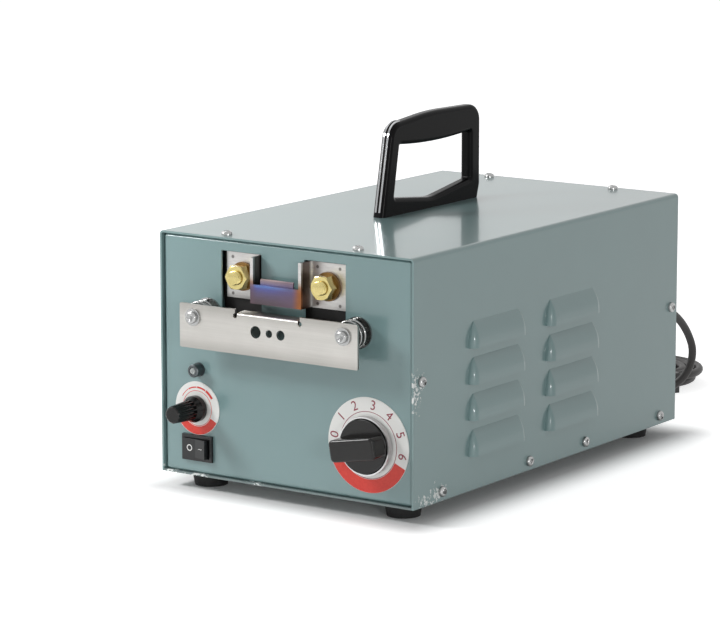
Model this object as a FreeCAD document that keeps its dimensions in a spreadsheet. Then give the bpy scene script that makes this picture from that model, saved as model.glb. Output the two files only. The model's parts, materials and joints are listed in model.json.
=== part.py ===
"""Bench-top hot-blade sealer and cutter: a transformer cabinet with a heated blade and a sprung guide plate.

Frame: millimetres, +Z up, the front faces -Y, origin on the floor under the middle of the machine.
"""
import FreeCAD
import Part
import Sketcher
import math
import os
import re
from FreeCAD import Placement, Rotation, Vector

# Driving dimensions. Places on the panels are measured from the cabinet's centre line and its underside.
SIZES = {
    # cabinet
    "case_width": 174, "case_depth": 288, "case_height": 140, "sheet_gauge": 1.2, "cover_bend": 2.4,
    "panel_recess": 1.5, "panel_gap": 0.4, "panel_flange": 14, "panel_bend": 2.0, "tray_gap": 0.15,
    "tray_lip": 14, "tray_lip_end": 2, "over": 2, "seat_gap": 0.1,
    # louvres pressed out of the cover's sides
    "louvre_length": 55.5, "louvre_height": 15, "louvre_depth": 4.5, "louvre_lip": 2,
    "louvre_pitch_y": 81.5, "louvre_pitch_z": 20.6, "louvre_low": 20, "louvre_front": -89,
    "louvre_columns": 2, "louvre_rows": 4,
    # sheet-metal screws
    "screw_head_radius": 3.1, "screw_head_height": 2.2, "screw_radius": 1.5, "screw_length": 7,
    "low_screw_z": 5.5, "low_screw_y1": -116, "low_screw_y2": -25, "low_screw_y3": 37,
    "low_screw_y4": 124.5, "mid_screw_z": 71, "flange_screw_in": 6, "top_screw_x": 45,
    # feet
    "foot_height": 9, "foot_radius": 11, "foot_taper": 1.5, "foot_inset": 20, "foot_recess_radius": 6,
    "foot_recess_depth": 5, "foot_screw_radius": 2, "foot_screw_length": 9, "foot_head_radius": 4,
    "foot_head_height": 2.6,
    # carrying handle
    "handle_x": -10, "handle_thick": 8, "handle_front": -38, "handle_rear": 66.4, "handle_height": 57.5,
    "handle_rake": 10.7, "handle_leg": 11, "handle_bar": 16.5, "handle_drop": 4, "handle_peak": 15,
    "handle_toe": 2.4, "handle_toe_height": 8, "rail_front": 10.4, "rail_mid": 6, "rail_rear": 12.2,
    "handle_corner": 10, "handle_arch": 220, "window_corner": 1.2, "rail_arch": 40, "handle_edge": 2.6,
    "bar_belly": 3.2, "bar_arch": 380, "handle_screw_radius": 2, "handle_screw_length": 13,
    "handle_screw_rear": 6, "trim_width": 1.2, "trim_gauge": 0.5, "trim_spread": 1.3, "trim_low": 3,
    "trim_reach": 21,
    # heating blade and its terminals, on a common centre line
    "tool_x": -1.8, "stud_spacing": 58.4, "stud_z": 118.3, "stud_radius": 4, "stud_bore_gap": 0.15,
    "stud_tip": 2.5, "stud_tip_chamfer": 0.8, "nut_flats": 13, "nut_height": 6.5, "washer_radius": 8.2,
    "washer_gauge": 1.6, "blade_gauge": 2, "blade_low": 105.5, "blade_height": 26, "blade_reach": 41,
    "blade_half": 17.5, "blade_forward": 7, "blade_setback": 3, "bar_height": 10.9, "bar_gauge": 2.2,
    "tongue_gauge": 1, "tongue_half": 11.3, "tongue_height": 3.4, "tongue_bevel": 0.6, "window_in": 14.7,
    "window_out": 42.7, "window_low": 92, "window_high": 132.3,
    # insulating board behind the panel
    "board_gauge": 10, "board_half": 44, "board_low": 90, "board_high": 132.3, "pin_radius": 2,
    "pin_half": 10, "pin_low": 96, "pin_high": 126, "pin_gap": 0.15, "pin_length": 20, "spacer_radius": 4,
    "small_nut_flats": 7, "small_nut_height": 3.2,
    # sprung guide plate
    "guide_width": 122, "guide_low": 77.5, "guide_height": 25.3, "guide_gauge": 1.5, "guide_standoff": 15,
    "guide_corner": 1, "guide_screw_half": 51.5, "guide_screw_z": 95.3, "guide_screw_radius": 2,
    "guide_hole_gap": 0.2, "guide_head_radius": 3.5, "guide_head_height": 2.2, "guide_washer_radius": 5,
    "guide_washer_gauge": 1, "seat_radius": 9, "seat_gauge": 1.2, "guide_tail": 6, "guide_nut_flats": 7,
    "guide_nut_height": 3.2, "guide_lip_half": 22.2, "guide_lip_drop": 2.2, "guide_lip_run": 5.5,
    "guide_lip_rise": 0.8, "guide_bend": 1.2, "relief_radius": 1.4, "guide_hole_z": 91.3, "hole_a_x": -8,
    "hole_a_radius": 3.5, "hole_b_x": 1.2, "hole_b_radius": 2.2, "hole_c_x": 9.1, "hole_c_radius": 2.8,
    "spring_radius": 7.6, "spring_wire": 0.8, "spring_turns": 2.75, "spring_gap": 0.05,
    # temperature selector
    "temp_x": 56.3, "temp_z": 32.8, "temp_dial_radius": 27, "dial_gauge": 0.5, "dial_hole_radius": 8.6,
    "switch_radius": 19, "switch_depth": 26, "bush_radius": 4.7, "bush_gap": 0.2, "bush_length": 6.4,
    "shaft_radius": 3, "shaft_gap": 0.05, "shaft_end": 15, "selector_flats": 14, "selector_height": 2.4,
    "knob_lift": 1, "skirt_radius": 15.8, "skirt_height": 5, "skirt_taper": 0.6, "grip_width": 12.5,
    "grip_length": 30, "grip_corner": 2.5, "grip_edge": 1.5, "knob_height": 16, "knob_hollow": 12.5,
    "knob_hollow_depth": 4.5, "knob_rest": 10, "knob_ring_radius": 16.6, "knob_ring_gauge": 3.5,
    # time control
    "time_x": -62.1, "time_z": 39.3, "time_dial_radius": 15.5, "pot_radius": 8, "pot_depth": 10,
    "pot_bush_radius": 3.4, "pot_bush_length": 5.6, "pot_shaft_radius": 3, "pot_nut_flats": 10,
    "pot_nut_height": 2, "time_hole_radius": 6.2, "time_skirt_radius": 7.6, "time_skirt_height": 6.5,
    "time_neck_radius": 5.8, "time_cap_radius": 5, "time_knob_height": 22.5, "time_hollow": 6,
    "time_hollow_depth": 3.4, "flute_radius": 0.9, "flute_count": 14,
    # rocker switch
    "rocker_x": -61.8, "rocker_z": 16.2, "rocker_bezel_x": 21, "rocker_bezel_z": 15, "bezel_height": 1.8,
    "rocker_body_x": 19, "rocker_body_z": 13, "rocker_depth": 18, "body_gap": 0.15, "rocker_well_x": 17.6,
    "rocker_well_z": 11.4, "well_depth": 9, "rocker_half": 8.1, "rocker_face": 2, "rocker_dip": 0.9,
    "rocker_keel": 4, "rocker_keel_half": 3, "rocker_shoulder": 1.5, "rocker_pivot": 2, "rocker_tilt": 7,
    "rocker_side_gap": 0.3, "trunnion_radius": 1.2, "trunnion_length": 0.6, "trunnion_gap": 0.05,
    "trunnion_clear": 0.15,
    # pilot lamp
    "lamp_x": -60.9, "lamp_z": 61.8, "lamp_flange_radius": 4.1, "lamp_flange_height": 1,
    "lamp_barrel_radius": 3.7, "lamp_barrel_height": 6.3, "lamp_rim": 0.5, "lamp_body_radius": 3.4,
    "lamp_depth": 14, "lens_radius": 2.3, "lens_height": 2.2, "lens_seat": 2,
    # transformer
    "core_y": 10, "core_width": 114, "core_height": 95, "core_stack": 60, "limb": 38, "yoke": 19,
    "former_wall": 1.5, "former_gap": 0.2, "former_flange": 2, "former_reach": 17, "winding_build": 10,
    "winding_round": 6, "strap_gap": 1, "strap_gauge": 3.5, "strap_height": 28, "strap_low": 38,
    "strap_front": 55, "flag_reach": 15, "busbar_width": 18, "busbar_gauge": 3, "busbar_top": 131.5,
    "busbar_plate": 24, "tag_half": 25.5, "tag_bolt_radius": 3, "tag_bolt_gap": 0.1, "tag_head_flats": 10,
    "tag_head_height": 4, "tag_nut_height": 5, "tag_bolt_tail": 2, "clamp_gauge": 3, "clamp_leg": 19,
    "clamp_foot": 26, "core_bolt_in": 9.5, "core_bolt_radius": 2.5, "core_bolt_gap": 0.1,
    "core_head_flats": 8, "core_head_height": 3.5, "core_tail": 2, "foot_bolt_out": 18,
    # timer board
    "timer_x": -43, "timer_y": -88, "timer_width": 66, "timer_depth": 46, "timer_gauge": 1.6,
    "pillar_height": 6, "pillar_radius": 3, "timer_screw_in": 4, "timer_screw_radius": 1.5,
    "timer_screw_head": 2.8, "timer_head_height": 2, "relay_width": 28, "relay_depth": 12.5,
    "relay_height": 15.5, "block_width": 30, "block_depth": 9, "block_height": 10, "block_ways": 6,
    "block_hole_radius": 1.6, "block_hole_depth": 6, "fuse_radius": 2.6, "fuse_length": 20, "fuse_cap": 5,
    "fuse_lift": 4.5, "clip_width": 6, "timer_part_in": 5,
    # mains lead
    "cord_radius": 2.5, "cord_bore_gap": 0.1, "gland_x": 50, "gland_z": 62, "gland_hole_radius": 6,
    "gland_body_radius": 5.9, "gland_flats": 15, "gland_height": 5, "gland_inner": 9, "gland_nut_height": 4,
    "sleeve_length": 26, "sleeve_radius": 5, "sleeve_tip_radius": 3.4, "coil_x": -8, "coil_y": 269.6,
    "coil_radius": 36, "coil_half_turns": 5, "coil_pitch": 5.6, "coil_layer_pitch": 5.5, "coil_lift": 1.3,
    "coil_lead_in": 17.9, "coil_lead_out": 36, "tie_gauge": 1, "tie_width": 5, "tie_gap": 0.3,
    "tie_angle": -30, "plug_radius": 9.2, "plug_neck_radius": 4.5, "plug_neck_length": 16,
    "plug_length": 20, "plug_pin_radius": 2, "plug_pin_length": 19, "plug_pin_spacing": 19,
    "plug_face_radius": 7.4, "plug_face_length": 6,
}

DOC = FreeCAD.newDocument("HotBladeSealer")
SHEET = DOC.addObject("Spreadsheet::Sheet", "Sizes")
for row, (alias, size) in enumerate(SIZES.items(), start=1):
    SHEET.set(f"A{row}", alias)
    SHEET.set(f"B{row}", str(size))
    SHEET.setAlias(f"B{row}", alias)
DOC.recompute()

NODES = []


def bound(text):
    """Expression in which each size's name points at its cell."""
    return re.sub(r"[a-z]\w*", lambda word: f"Sizes.{word[0]}" if word[0] in SIZES else word[0], str(text))


def number(text):
    """Present value of an expression."""
    return float(SHEET.evalExpression(bound(text)))


def node(obj, name):
    """Give a finished piece its name and keep it for export."""
    obj.Label = name
    NODES.append(obj)
    return obj


def place(obj, spot, turn=None):
    """Bind an object's place to three expressions, after an optional fixed turn."""
    if turn is not None:
        obj.Placement = Placement(Vector(), turn)
    for axis, text in zip("xyz", spot):
        obj.setExpression(f"Placement.Base.{axis}", bound(text))
    return obj


TURNS = {
    "+z": Rotation(), "-z": Rotation(Vector(1, 0, 0), 180),
    "+y": Rotation(Vector(1, 0, 0), -90), "-y": Rotation(Vector(1, 0, 0), 90),
    "+x": Rotation(Vector(0, 1, 0), 90), "-x": Rotation(Vector(0, 1, 0), -90),
}


def box(name, corner, size):
    block = DOC.addObject("Part::Box", name)
    for side, text in zip(("Length", "Width", "Height"), size):
        block.setExpression(side, bound(text))
    return place(block, corner)


def rod(name, start, radius, length, along):
    cylinder = DOC.addObject("Part::Cylinder", name)
    cylinder.setExpression("Radius", bound(radius))
    cylinder.setExpression("Height", bound(length))
    return place(cylinder, start, TURNS[along])


def cone(name, start, radius, tip_radius, length, along):
    taper = DOC.addObject("Part::Cone", name)
    taper.setExpression("Radius1", bound(radius))
    taper.setExpression("Radius2", bound(tip_radius))
    taper.setExpression("Height", bound(length))
    return place(taper, start, TURNS[along])


def hexagon(name, start, flats, length, along):
    prism = DOC.addObject("Part::Prism", name)
    prism.Polygon = 6
    prism.setExpression("Circumradius", bound(f"({flats}) / sqrt(3)"))
    prism.setExpression("Height", bound(length))
    return place(prism, start, TURNS[along])


def fused(name, pieces):
    union = DOC.addObject("Part::MultiFuse", name)
    union.Shapes = pieces
    return union


def cut(name, base, tools):
    cutting = DOC.addObject("Part::Cut", name)
    cutting.Base = base
    cutting.Tool = tools[0] if len(tools) == 1 else fused(f"{name}Tools", tools)
    return cutting


def group(name, pieces):
    """Separate solids that share one node."""
    compound = DOC.addObject("Part::Compound", name)
    compound.Links = pieces
    return compound


def copies(name, master, spots):
    """Identical pieces: one link to the master for each (place, direction)."""
    links = []
    for spot, along in spots:
        link = DOC.addObject("App::Link", name)
        link.LinkedObject = master
        links.append(place(link, spot, TURNS[along]))
    return group(name, links)


def made(name, shape):
    """Piece whose shape is worked out here from the sheet's sizes."""
    feature = DOC.addObject("Part::Feature", name)
    feature.Shape = shape
    return feature


def nut(name, flats, height, bore):
    """Hexagon nut that stands on the origin along +Z."""
    return cut(name, hexagon(f"{name}Blank", ("0", "0", "0"), flats, height, "+z"),
               [rod(f"{name}Bore", ("0", "0", "-over"), bore, f"{height} + 2 * over", "+z")])


def washer(name, radius, gauge, bore):
    return cut(name, rod(f"{name}Blank", ("0", "0", "0"), radius, gauge, "+z"),
               [rod(f"{name}Bore", ("0", "0", "-over"), bore, f"{gauge} + 2 * over", "+z")])


# Sketched bodies. The sketch axes are X, Y on XY, X, Z on XZ and Y, Z on YZ.
def new_body(name):
    return DOC.addObject("PartDesign::Body", name)


def circle(x, y, radius):
    return ("circle", x, y, radius)


def block(x_low, x_high, y_low, y_high):
    return [(x_low, y_low), (x_high, y_low), (x_high, y_high), (x_low, y_high)]


def pin_point(sketch, geometry, point, x, y):
    """Bind one point of a sketch to two expressions."""
    for kind, text in (("DistanceX", x), ("DistanceY", y)):
        constraint = sketch.addConstraint(Sketcher.Constraint(kind, -1, 1, geometry, point, number(text)))
        sketch.setExpression(f"Constraints[{constraint}]", bound(text))


def draw_circle(sketch, x, y, radius):
    middle = Vector(number(x), number(y), 0)
    ring = sketch.addGeometry(Part.Circle(middle, Vector(0, 0, 1), number(radius)), False)
    pin_point(sketch, ring, 3, x, y)
    constraint = sketch.addConstraint(Sketcher.Constraint("Radius", ring, number(radius)))
    sketch.setExpression(f"Constraints[{constraint}]", bound(radius))


def draw_polygon(sketch, points):
    corners = [Vector(number(x), number(y), 0) for x, y in points]
    lines = [sketch.addGeometry(Part.LineSegment(start, end), False)
             for start, end in zip(corners, corners[1:] + corners[:1])]
    for line, following in zip(lines, lines[1:] + lines[:1]):
        sketch.addConstraint(Sketcher.Constraint("Coincident", line, 2, following, 1))
    for line, (x, y) in zip(lines, points):
        pin_point(sketch, line, 1, x, y)


def sketched(body, plane, offset, loops):
    """Sketch on one of the body's own planes, moved along its normal."""
    sketch = body.newObject("Sketcher::SketchObject", f"{body.Name}Sketch")
    base = [feature for feature in body.Origin.OriginFeatures if feature.Role == f"{plane}_Plane"]
    sketch.AttachmentSupport = (base[0], [""])
    sketch.MapMode = "FlatFace"
    sketch.setExpression("AttachmentOffset.Base.z", bound(offset))
    for loop in loops:
        if loop[0] == "circle":
            draw_circle(sketch, *loop[1:])
        else:
            draw_polygon(sketch, loop)
    return sketch


def slab(body, plane, low, high, *loops):
    """Pad from one coordinate to another along the plane's axis."""
    offset = f"-({high})" if plane == "XZ" else low
    pad = body.newObject("PartDesign::Pad", f"{body.Name}Pad")
    pad.Profile = sketched(body, plane, offset, loops)
    pad.setExpression("Length", bound(f"({high}) - ({low})"))
    DOC.recompute()
    return pad


def recess(body, plane, low, high, *loops):
    """Pocket between two coordinates along the plane's axis."""
    before = body.Shape.Volume
    offset = f"-({low})" if plane == "XZ" else high
    pocket = body.newObject("PartDesign::Pocket", f"{body.Name}Pocket")
    pocket.Profile = sketched(body, plane, offset, loops)
    pocket.setExpression("Length", bound(f"({high}) - ({low})"))
    DOC.recompute()
    if body.Shape.Volume >= before:
        raise RuntimeError(f"a pocket of {body.Name} cuts nothing")
    return pocket


def turned(body, points):
    """Revolve a profile of (radius, height) points about the body's Z axis."""
    revolution = body.newObject("PartDesign::Revolution", f"{body.Name}Turned")
    revolution.Profile = sketched(body, "XZ", "0", [points])
    axis = [feature for feature in body.Origin.OriginFeatures if feature.Role == "Z_Axis"]
    revolution.ReferenceAxis = (axis[0], [""])
    revolution.Angle = 360
    DOC.recompute()
    return revolution


def rounded(body, radius, chosen, kind="Fillet"):
    """Round or bevel the edges of the body's present shape that a test chooses."""
    edges = [f"Edge{index}" for index, edge in enumerate(body.Shape.Edges, start=1) if chosen(edge)]
    if not edges:
        raise RuntimeError(f"no edge of {body.Name} to round")
    base = body.Tip
    dressing = body.newObject(f"PartDesign::{kind}", f"{body.Name}{kind}")
    dressing.Base = (base, edges)
    dressing.setExpression("Radius" if kind == "Fillet" else "Size", bound(radius))
    DOC.recompute()
    return dressing


def lies_at(axis, value):
    """Test: the whole edge lies at one coordinate."""
    def test(edge):
        low = getattr(edge.BoundBox, f"{axis.upper()}Min")
        high = getattr(edge.BoundBox, f"{axis.upper()}Max")
        return abs(low - value) < 1e-4 and abs(high - value) < 1e-4
    return test


def runs_along(axis):
    """Test: a straight edge along one axis."""
    def test(edge):
        spans = {name: getattr(edge.BoundBox, f"{name.upper()}Length") for name in "xyz"}
        return spans[axis] > 1e-3 and sum(spans.values()) - spans[axis] < 1e-4
    return test


def turned_body(name, points):
    body = new_body(name)
    turned(body, points)
    return body


def screw(name, head_radius, head_height, radius, length):
    """Pan-head screw: its seat at the origin, the head along +Z and the shank along -Z."""
    crown = f"{head_height} * 0.45"
    return turned_body(name, [
        ("0", f"-({length})"), (radius, f"-({length})"), (radius, "0"), (head_radius, "0"),
        (head_radius, crown), (f"{head_radius} * 0.62", head_height), ("0", head_height)])


# Shared planes of the frame
REACH = "(dial_gauge + knob_lift + time_knob_height - panel_recess)"
CASE_Y = f"({REACH} / 2)"
FRONT_Y = f"({CASE_Y} - case_depth / 2)"
REAR_Y = f"({CASE_Y} + case_depth / 2)"
PANEL_Y = f"({FRONT_Y} + panel_recess)"
PANEL_BACK = f"({PANEL_Y} + sheet_gauge)"
REAR_PANEL_Y = f"({REAR_Y} - panel_recess)"
BASE = "foot_height"
FLOOR = f"({BASE} + sheet_gauge)"
TOP = f"({BASE} + case_height)"
INSIDE_X = "(case_width / 2 - sheet_gauge)"
PANEL_X = f"({INSIDE_X} - panel_gap)"
PANEL_TOP = f"({TOP} - sheet_gauge - panel_gap)"
SIDES = ("-", "+")


def up(text):
    """Height above the cabinet's underside."""
    return f"({BASE} + {text})"


def back(text):
    """Distance behind the cabinet's middle."""
    return f"({CASE_Y} + {text})"


def behind(text):
    """Distance behind the front panel's face."""
    return f"({PANEL_Y} + {text})"


# Screws that hold the cover: their places on the sides and on the top
SCREW_HOLE = "screw_radius + seat_gap"
LOW_SCREWS = [back(f"low_screw_y{index}") for index in (1, 2, 3, 4)]
FLANGE_FRONT = f"({PANEL_Y} + flange_screw_in)"
FLANGE_REAR = f"({REAR_PANEL_Y} - flange_screw_in)"
TOP_SCREWS = [(f"{side}top_screw_x", y) for side in SIDES for y in (FLANGE_FRONT, FLANGE_REAR)]
LOW_HOLES = [circle(y, up("low_screw_z"), SCREW_HOLE) for y in LOW_SCREWS]
MID_HOLES = [circle(y, up("mid_screw_z"), SCREW_HOLE) for y in (FLANGE_FRONT, FLANGE_REAR)]
TOP_HOLES = [circle(x, y, SCREW_HOLE) for x, y in TOP_SCREWS]
ALL_X = ("-case_width", "case_width")

# Handle: the feet of its two legs, where the screws come up through the cover
HANDLE_FEET = [("handle_x", back("(handle_front + handle_leg / 2)")),
               ("handle_x", back("(handle_rear - handle_toe - handle_screw_rear)"))]


# Cover: sheet folded down over both sides, with domed louvres pressed outwards
def louvre_form(reach):
    """Louvre on the +X side that stands out by a reach, from its lower front corner on the sheet."""
    depth, lip = number("louvre_depth"), number("louvre_lip")
    run = number("louvre_height") - lip
    radius = (depth ** 2 + run ** 2) / (2 * depth)
    angle = math.acos((radius - reach) / radius)
    top = lip + radius * math.sin(angle)
    middle = Vector(reach - radius + radius * math.cos(angle / 2), 0, lip + radius * math.sin(angle / 2))
    outline = [Part.makeLine(Vector(0, 0, 0), Vector(reach, 0, 0)),
               Part.makeLine(Vector(reach, 0, 0), Vector(reach, 0, lip)),
               Part.Arc(Vector(reach, 0, lip), middle, Vector(0, 0, top)).toShape(),
               Part.makeLine(Vector(0, 0, top), Vector(0, 0, 0))]
    profile = Part.Face(Part.Wire(outline))
    straight = number("louvre_length") - 2 * depth
    front = profile.revolve(Vector(), Vector(0, 0, 1), -90)
    rear = profile.revolve(Vector(), Vector(0, 0, 1), 90)
    rear.translate(Vector(0, straight, 0))
    form = profile.extrude(Vector(0, straight, 0)).fuse([front, rear]).removeSplitter()
    form.translate(Vector(0, depth, 0))
    return form


def louvre_hollow():
    """Inside of a louvre, carried on through the sheet."""
    gauge = number("sheet_gauge")
    inside = louvre_form(number("louvre_depth") - gauge)
    opening = [face for face in inside.Faces if lies_at("x", 0)(face)]
    return inside.fuse([face.extrude(Vector(-gauge - number("over"), 0, 0)) for face in opening])


def louvre_bank(form):
    """One form at every louvre's place on both sides."""
    forms = []
    for column in range(int(number("louvre_columns"))):
        for line in range(int(number("louvre_rows"))):
            right = form.copy()
            right.translate(Vector(number("case_width / 2"),
                                   number(back("louvre_front")) + column * number("louvre_pitch_y"),
                                   number(up("louvre_low")) + line * number("louvre_pitch_z")))
            forms += [right, right.mirror(Vector(), Vector(1, 0, 0))]
    return Part.makeCompound(forms)


cover_sheet = new_body("CoverSheet")
slab(cover_sheet, "XZ", FRONT_Y, REAR_Y,
     [("-case_width / 2", BASE), ("-case_width / 2", TOP), ("case_width / 2", TOP), ("case_width / 2", BASE),
      (INSIDE_X, BASE), (INSIDE_X, f"{TOP} - sheet_gauge"), (f"-{INSIDE_X}", f"{TOP} - sheet_gauge"),
      (f"-{INSIDE_X}", BASE)])
rounded(cover_sheet, "cover_bend", lambda edge: runs_along("y")(edge) and lies_at("z", number(TOP))(edge))
rounded(cover_sheet, "cover_bend - sheet_gauge",
        lambda edge: runs_along("y")(edge) and lies_at("z", number(f"{TOP} - sheet_gauge"))(edge)
        and abs(abs(edge.BoundBox.XMin) - number(INSIDE_X)) < 1e-4)
recess(cover_sheet, "YZ", *ALL_X, *LOW_HOLES, *MID_HOLES)
recess(cover_sheet, "XY", f"{TOP} - sheet_gauge - over", f"{TOP} + over", *TOP_HOLES,
       *[circle(x, y, "handle_screw_radius + seat_gap") for x, y in HANDLE_FEET])
louvred = DOC.addObject("Part::Fuse", "CoverLouvred")
louvred.Base = cover_sheet
louvred.Tool = made("LouvreForms", louvre_bank(louvre_form(number("louvre_depth"))))
node(cut("Cover", louvred, [made("LouvreHollows", louvre_bank(louvre_hollow()))]), "cover")


# Front and rear panels: pressed pans whose flanges take the cover's screws
def pan(name, face, rim):
    """Pan with its face at one Y and its flanges reaching to another."""
    body = new_body(name)
    forward = number(face) < number(rim)
    low, high = (face, rim) if forward else (rim, face)
    slab(body, "XZ", low, high, block(f"-{PANEL_X}", PANEL_X, FLOOR, PANEL_TOP))
    at_face = lies_at("y", number(face))
    rounded(body, "panel_bend", lambda edge: at_face(edge) or runs_along("y")(edge))
    inner = f"({face} + sheet_gauge)" if forward else f"({face} - sheet_gauge)"
    low, high = (inner, f"({rim} + over)") if forward else (f"({rim} - over)", inner)
    recess(body, "XZ", low, high, block(f"-{PANEL_X} + sheet_gauge", f"{PANEL_X} - sheet_gauge",
                                        f"{FLOOR} + sheet_gauge", f"{PANEL_TOP} - sheet_gauge"))
    at_back = lies_at("y", number(inner))
    inside = number(f"{PANEL_X} - sheet_gauge")
    rounded(body, "panel_bend - sheet_gauge", lambda edge: at_back(edge) or (
        runs_along("y")(edge) and abs(abs(edge.BoundBox.XMin) - inside) < 1e-4))
    hole_y = FLANGE_FRONT if forward else FLANGE_REAR
    recess(body, "YZ", *ALL_X, circle(hole_y, up("mid_screw_z"), SCREW_HOLE))
    recess(body, "XY", f"{PANEL_TOP} - sheet_gauge - over", f"{PANEL_TOP} + over",
           *[circle(f"{side}top_screw_x", hole_y, SCREW_HOLE) for side in SIDES])
    return body


STUDS = [f"(tool_x {side} stud_spacing / 2)" for side in SIDES]
BOARD_PINS = [(f"(tool_x {side} pin_half)", up(z)) for side in SIDES for z in ("pin_low", "pin_high")]
GUIDE_SCREWS = [f"(tool_x {side} guide_screw_half)" for side in SIDES]
THROUGH_PANEL = (f"{PANEL_Y} - over", f"{PANEL_BACK} + over")

front_panel = pan("FrontPanel", PANEL_Y, f"({PANEL_Y} + panel_flange)")
recess(front_panel, "XZ", *THROUGH_PANEL,
       block("tool_x - window_out", "tool_x - window_in", up("window_low"), up("window_high")),
       block("tool_x + window_in", "tool_x + window_out", up("window_low"), up("window_high")),
       circle("temp_x", up("temp_z"), "bush_radius + bush_gap"),
       circle("time_x", up("time_z"), "pot_bush_radius + bush_gap"),
       circle("lamp_x", up("lamp_z"), "lamp_body_radius + bush_gap"),
       block("rocker_x - rocker_body_x / 2 - body_gap", "rocker_x + rocker_body_x / 2 + body_gap",
             up("rocker_z - rocker_body_z / 2 - body_gap"), up("rocker_z + rocker_body_z / 2 + body_gap")),
       *[circle(x, up("guide_screw_z"), "guide_screw_radius + seat_gap") for x in GUIDE_SCREWS])
slab(front_panel, "XZ", PANEL_BACK, f"{PANEL_BACK} + pin_length",
     *[circle(x, z, "pin_radius") for x, z in BOARD_PINS])
node(front_panel, "front_panel")

rear_panel = pan("RearPanel", REAR_PANEL_Y, f"({REAR_PANEL_Y} - panel_flange)")
recess(rear_panel, "XZ", f"{REAR_PANEL_Y} - sheet_gauge - over", f"{REAR_PANEL_Y} + over",
       circle("gland_x", up("gland_z"), "gland_hole_radius"))
node(rear_panel, "rear_panel")

# Base tray: floor with a lip along each side for the lower row of screws
TRAY_X = f"({INSIDE_X} - tray_gap)"
LIP_FRONT = f"({PANEL_Y} + panel_flange + tray_lip_end)"
LIP_REAR = f"({REAR_PANEL_Y} - panel_flange - tray_lip_end)"
FEET = [(f"{sx}(case_width / 2 - foot_inset)", f"({CASE_Y} {sy} (case_depth / 2 - foot_inset))")
        for sx in SIDES for sy in SIDES]
CORE_Y = back("core_y")
CLAMP_BOLTS = [(f"(tool_x {sx} (core_width / 2 - core_bolt_in))",
                f"({CORE_Y} {sy} (core_stack / 2 + foot_bolt_out))") for sx in SIDES for sy in SIDES]
PILLARS = [(f"(timer_x {sx} (timer_width / 2 - timer_screw_in))",
            back(f"(timer_y {sy} (timer_depth / 2 - timer_screw_in))")) for sx in SIDES for sy in SIDES]

base_tray = new_body("BaseTray")
slab(base_tray, "XY", BASE, FLOOR, block(f"-{TRAY_X}", TRAY_X, FRONT_Y, REAR_Y))
slab(base_tray, "XY", BASE, up("tray_lip"),
     block(f"-{TRAY_X}", f"-{TRAY_X} + sheet_gauge", LIP_FRONT, LIP_REAR),
     block(f"{TRAY_X} - sheet_gauge", TRAY_X, LIP_FRONT, LIP_REAR))
recess(base_tray, "YZ", *ALL_X, *LOW_HOLES)
recess(base_tray, "XY", f"{BASE} - over", f"{FLOOR} + over",
       *[circle(x, y, "foot_screw_radius + seat_gap") for x, y in FEET],
       *[circle(x, y, "core_bolt_radius + core_bolt_gap") for x, y in CLAMP_BOLTS],
       *[circle(x, y, "timer_screw_radius + seat_gap") for x, y in PILLARS])
node(base_tray, "base_tray")

# Cover screws
cover_screw = screw("CoverScrew", "screw_head_radius", "screw_head_height", "screw_radius", "screw_length")
side_spots = [(y, "low_screw_z") for y in LOW_SCREWS]
side_spots += [(y, "mid_screw_z") for y in (FLANGE_FRONT, FLANGE_REAR)]
node(copies("CoverScrews", cover_screw,
            [((f"{side}case_width / 2", y, up(z)), f"{side}x") for side in SIDES for y, z in side_spots]
            + [((x, y, TOP), "+z") for x, y in TOP_SCREWS]), "cover_screws")

# Rubber feet with sunk screws
FOOT_BORE = "foot_screw_radius + seat_gap"
foot = turned_body("Foot", [
    (FOOT_BORE, "foot_recess_depth"), ("foot_recess_radius", "foot_recess_depth"),
    ("foot_recess_radius", "0"), ("foot_radius - foot_taper", "0"), ("foot_radius", "foot_height"),
    (FOOT_BORE, "foot_height")])
node(copies("RubberFeet", foot, [((x, y, "0"), "+z") for x, y in FEET]), "rubber_feet")
foot_screw = screw("FootScrew", "foot_head_radius", "foot_head_height", "foot_screw_radius",
                   "foot_screw_length")
node(copies("FootScrews", foot_screw, [((x, y, "foot_recess_depth"), "-z") for x, y in FEET]), "foot_screws")

# Carrying handle: a moulded loop with a raked front leg, and bright strips up its front edge
RAIL_TOP = "(handle_front + handle_leg)"
handle = new_body("Handle")
HANDLE_LOW, HANDLE_HIGH = "handle_x - handle_thick / 2", "handle_x + handle_thick / 2"
outer_loop = [(back("handle_front"), TOP),
              (back("(handle_front + handle_rake)"), f"{TOP} + handle_height - handle_drop"),
              (back("handle_peak"), f"{TOP} + handle_height"),
              (back("handle_rear"), f"{TOP} + handle_height - handle_drop / 4"),
              (back("handle_rear"), f"{TOP} + handle_toe_height"), (back("(handle_rear - handle_toe)"), TOP)]
BAR_UNDER = f"{TOP} + handle_height - handle_bar"
BAR_FRONT = f"({RAIL_TOP} + handle_rake * (handle_height - handle_bar) / handle_height)"
BAR_REAR = "(handle_rear - handle_leg)"
window_loop = [(back(f"({RAIL_TOP} + handle_rake * rail_front / handle_height)"), f"{TOP} + rail_front"),
               (back("handle_peak"), f"{TOP} + rail_mid"), (back(BAR_REAR), f"{TOP} + rail_rear"),
               (back(BAR_REAR), BAR_UNDER),
               (back(f"({BAR_FRONT} + {BAR_REAR}) / 2"), f"{BAR_UNDER} - bar_belly"),
               (back(BAR_FRONT), BAR_UNDER)]
slab(handle, "YZ", HANDLE_LOW, HANDLE_HIGH, outer_loop, window_loop)


def near(y, z):
    """Test: an edge along X through one corner of the handle's side."""
    def test(edge):
        box_of = edge.BoundBox
        return (runs_along("x")(edge) and abs(box_of.YMin - number(y)) < 1e-3
                and abs(box_of.ZMin - number(z)) < 1e-3)
    return test


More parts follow.
